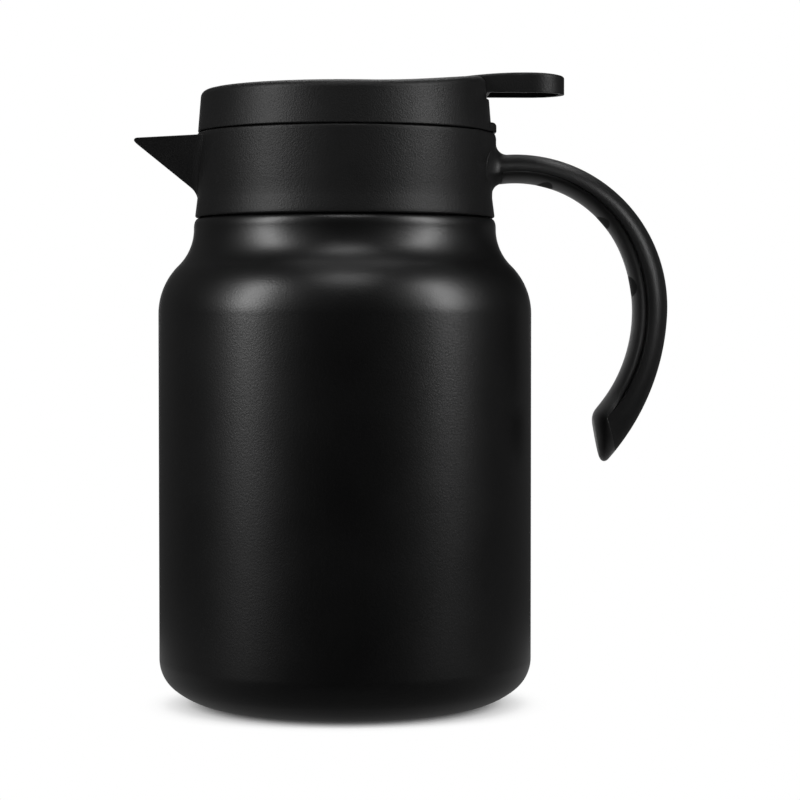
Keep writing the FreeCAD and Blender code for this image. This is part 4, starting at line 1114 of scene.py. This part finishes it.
@dataclass
class Studio:
    """Pale floor, white surroundings and softboxes.

    A pair called a run gives where a change begins and where it ends.
    """

    floor_reach: float = 12.0
    surround: float = 0.5
    glossy_back: float = 0.10
    glossy_front: float = 0.004
    glossy_floor: float = 0.6
    glossy_sides: Pair = (0.8, 0.1)
    around_run: Pair = (-0.1, 0.7)
    behind_run: Pair = (0.94, 0.99)
    low_run: Pair = (0.0, 0.3)
    side_run: Pair = (-0.5, 0.5)
    floor_grey: float = 0.95
    shadow_run: Pair = (0.042, 0.068)
    shadow_floor: float = 0.05
    bright_run: Pair = (-0.10, 0.15)
    near_run: Pair = (0.09, 0.22)
    near_end: float = 0.12
    aside_run: Pair = (0.12, 0.3)
    far_run: Pair = (0.5, 1.2)
    softboxes: list[Softbox] = field(default_factory=lambda: [
        Softbox("softbox_left", (-0.87, -0.47, 0.55), (0.0, 0.0, 0.16), 0.26, 0.76, 7.8),
        Softbox("softbox_right", (0.89, -0.44, 0.565), (0.0, 0.0, 0.16), 0.26, 0.73, 7.3),
        Softbox("softbox_top", (0.0, -0.56, 0.98), (0.0, 0.0, 0.14), 0.36, 0.24, 1.5),
        Softbox("softbox_over", (0.04, 0.06, 1.05), (0.04, 0.0, 0.15), 0.60, 0.40, 0.9),
        Softbox("softbox_back", (0.04, 0.48, 0.95), (0.04, 0.0, 0.15), 0.70, 0.40, 3.5),
    ])

    def build_world(self) -> None:
        """White surroundings for the camera and even ones for light.

        Gloss sees them pale low behind and to the left, white straight behind, and dark in front.
        """
        world = bpy.data.worlds.new("studio")
        bpy.context.scene.world = world
        world.use_nodes = True
        graph = Graph(world.node_tree)
        way = graph.add("SeparateXYZ", Vector=graph.add("TexCoord").outputs["Generated"])
        path = graph.add("LightPath")
        around = graph.span(way.outputs["Y"], self.glossy_front, self.glossy_back, *self.around_run)
        behind = graph.math("MAXIMUM", around, graph.span(way.outputs["Y"], 0.0, 1.0, *self.behind_run))
        low = graph.span(way.outputs["Z"], 1.0, 0.0, *self.low_run)
        left = graph.span(way.outputs["X"], *self.glossy_sides, *self.side_run)
        wall = graph.math("MULTIPLY", behind, graph.math("MAXIMUM", low, left))
        gloss = graph.math("MULTIPLY", path.outputs["Is Glossy Ray"], wall)
        seen = graph.math("MAXIMUM", path.outputs["Is Camera Ray"], path.outputs["Is Transmission Ray"])
        matt = graph.math("MULTIPLY", path.outputs["Is Diffuse Ray"], self.surround)
        level = graph.math("MAXIMUM", graph.math("MAXIMUM", seen, gloss), matt)
        sky = graph.add("Background", Color=rgba(1.0), Strength=level)
        graph.add("OutputWorld", Surface=sky.outputs[0])

    def build_floor(self) -> None:
        """Flat pale floor: lit and shadowed round the foot, fading into the white further out, and a painted
        glow in gloss.
        """
        reach = self.floor_reach
        mesh = bpy.data.meshes.new("floor")
        corners = [(-reach, -reach, 0), (reach, -reach, 0), (reach, reach, 0), (-reach, reach, 0)]
        mesh.from_pydata(corners, [], [(0, 1, 2, 3)])
        floor = placed("floor", mesh)
        made = bpy.data.materials.new("pale_floor")
        made.use_nodes = True
        graph = Graph(made.node_tree)
        place = graph.add("TexCoord").outputs["Object"]
        distance = graph.add("VectorMath", {"operation": "LENGTH"}, Vector=place).outputs["Value"]
        far = graph.add("MapRange", {"interpolation_type": "SMOOTHSTEP"}, Value=distance,
                        From_Min=self.shadow_run[0], From_Max=self.shadow_run[1],
                        To_Min=self.shadow_floor, To_Max=1.0)
        path = graph.add("LightPath")
        seen = graph.math("MAXIMUM", path.outputs["Is Camera Ray"], path.outputs["Is Transmission Ray"])
        white_share = graph.math("MULTIPLY", seen, far.outputs["Result"])
        cross, depth, _ = graph.add("SeparateXYZ", Vector=place).outputs
        # Painted reflection: glossy rays see the floor glow, bright behind and near the foot, dark in front,
        # and white far out straight back.
        bright = graph.span(depth, self.glossy_front, self.glossy_floor, *self.bright_run)
        near = graph.math("MULTIPLY", bright, graph.span(distance, 1.0, self.near_end, *self.near_run))
        aside = graph.math("DIVIDE", graph.math("ABSOLUTE", cross, 0.0), depth)
        ahead = graph.span(aside, 1.0, 0.0, *self.aside_run)
        far_white = graph.math("MULTIPLY", ahead, graph.span(depth, 0.0, 1.0, *self.far_run))
        sheen = graph.math("MAXIMUM", near, far_white)
        lit = graph.add("BsdfDiffuse", Color=rgba(self.floor_grey))
        white = graph.add("Emission", Color=rgba(1.0), Strength=1.0)
        painted_floor_glow = graph.add("Emission", Color=rgba(1.0), Strength=sheen)
        pale = graph.add("MixShader", None, white_share, lit.outputs[0], white.outputs[0])
        glossy = path.outputs["Is Glossy Ray"]
        both = graph.add("MixShader", None, glossy, pale.outputs[0], painted_floor_glow.outputs[0])
        graph.add("OutputMaterial", Surface=both.outputs[0])
        mesh.materials.append(made)

    def build(self) -> None:
        """Make the world, the floor and the lamps."""
        self.build_world()
        self.build_floor()
        for box in self.softboxes:
            box.build()


@dataclass
class PhotoCamera:
    """Camera at the photograph's eye point."""

    eye: Triple = (-0.0119, -0.8431, 0.1252)
    target: Triple = (0.0178, 0.0, 0.0984)
    focal_pixels: float = 2600.0
    frame_pixels: float = 800.0
    sensor: float = 36.0
    clip: Pair = (0.01, 100.0)

    def build(self) -> None:
        """Make the camera and give it to the scene."""
        data = bpy.data.cameras.new("photo_camera")
        data.sensor_width = self.sensor
        data.lens = self.focal_pixels / self.frame_pixels * self.sensor
        data.clip_start, data.clip_end = self.clip
        camera = placed("photo_camera", data)
        aim(camera, self.eye, self.target)
        bpy.context.scene.camera = camera


def main() -> None:
    """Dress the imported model, rebuild its outer pieces and build the studio."""
    logging.basicConfig(level=logging.INFO, format="%(name)s: %(message)s")
    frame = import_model()
    bpy.context.scene.view_settings.view_transform = "Standard"
    dress_nodes(frame["nodes"])
    SteelBody().build()
    NeckGasket().build()
    Collar().build()
    LidLug().build()
    ValveSpring().build()
    Studio().build()
    PhotoCamera().build()


if __name__ == "__main__":
    main()
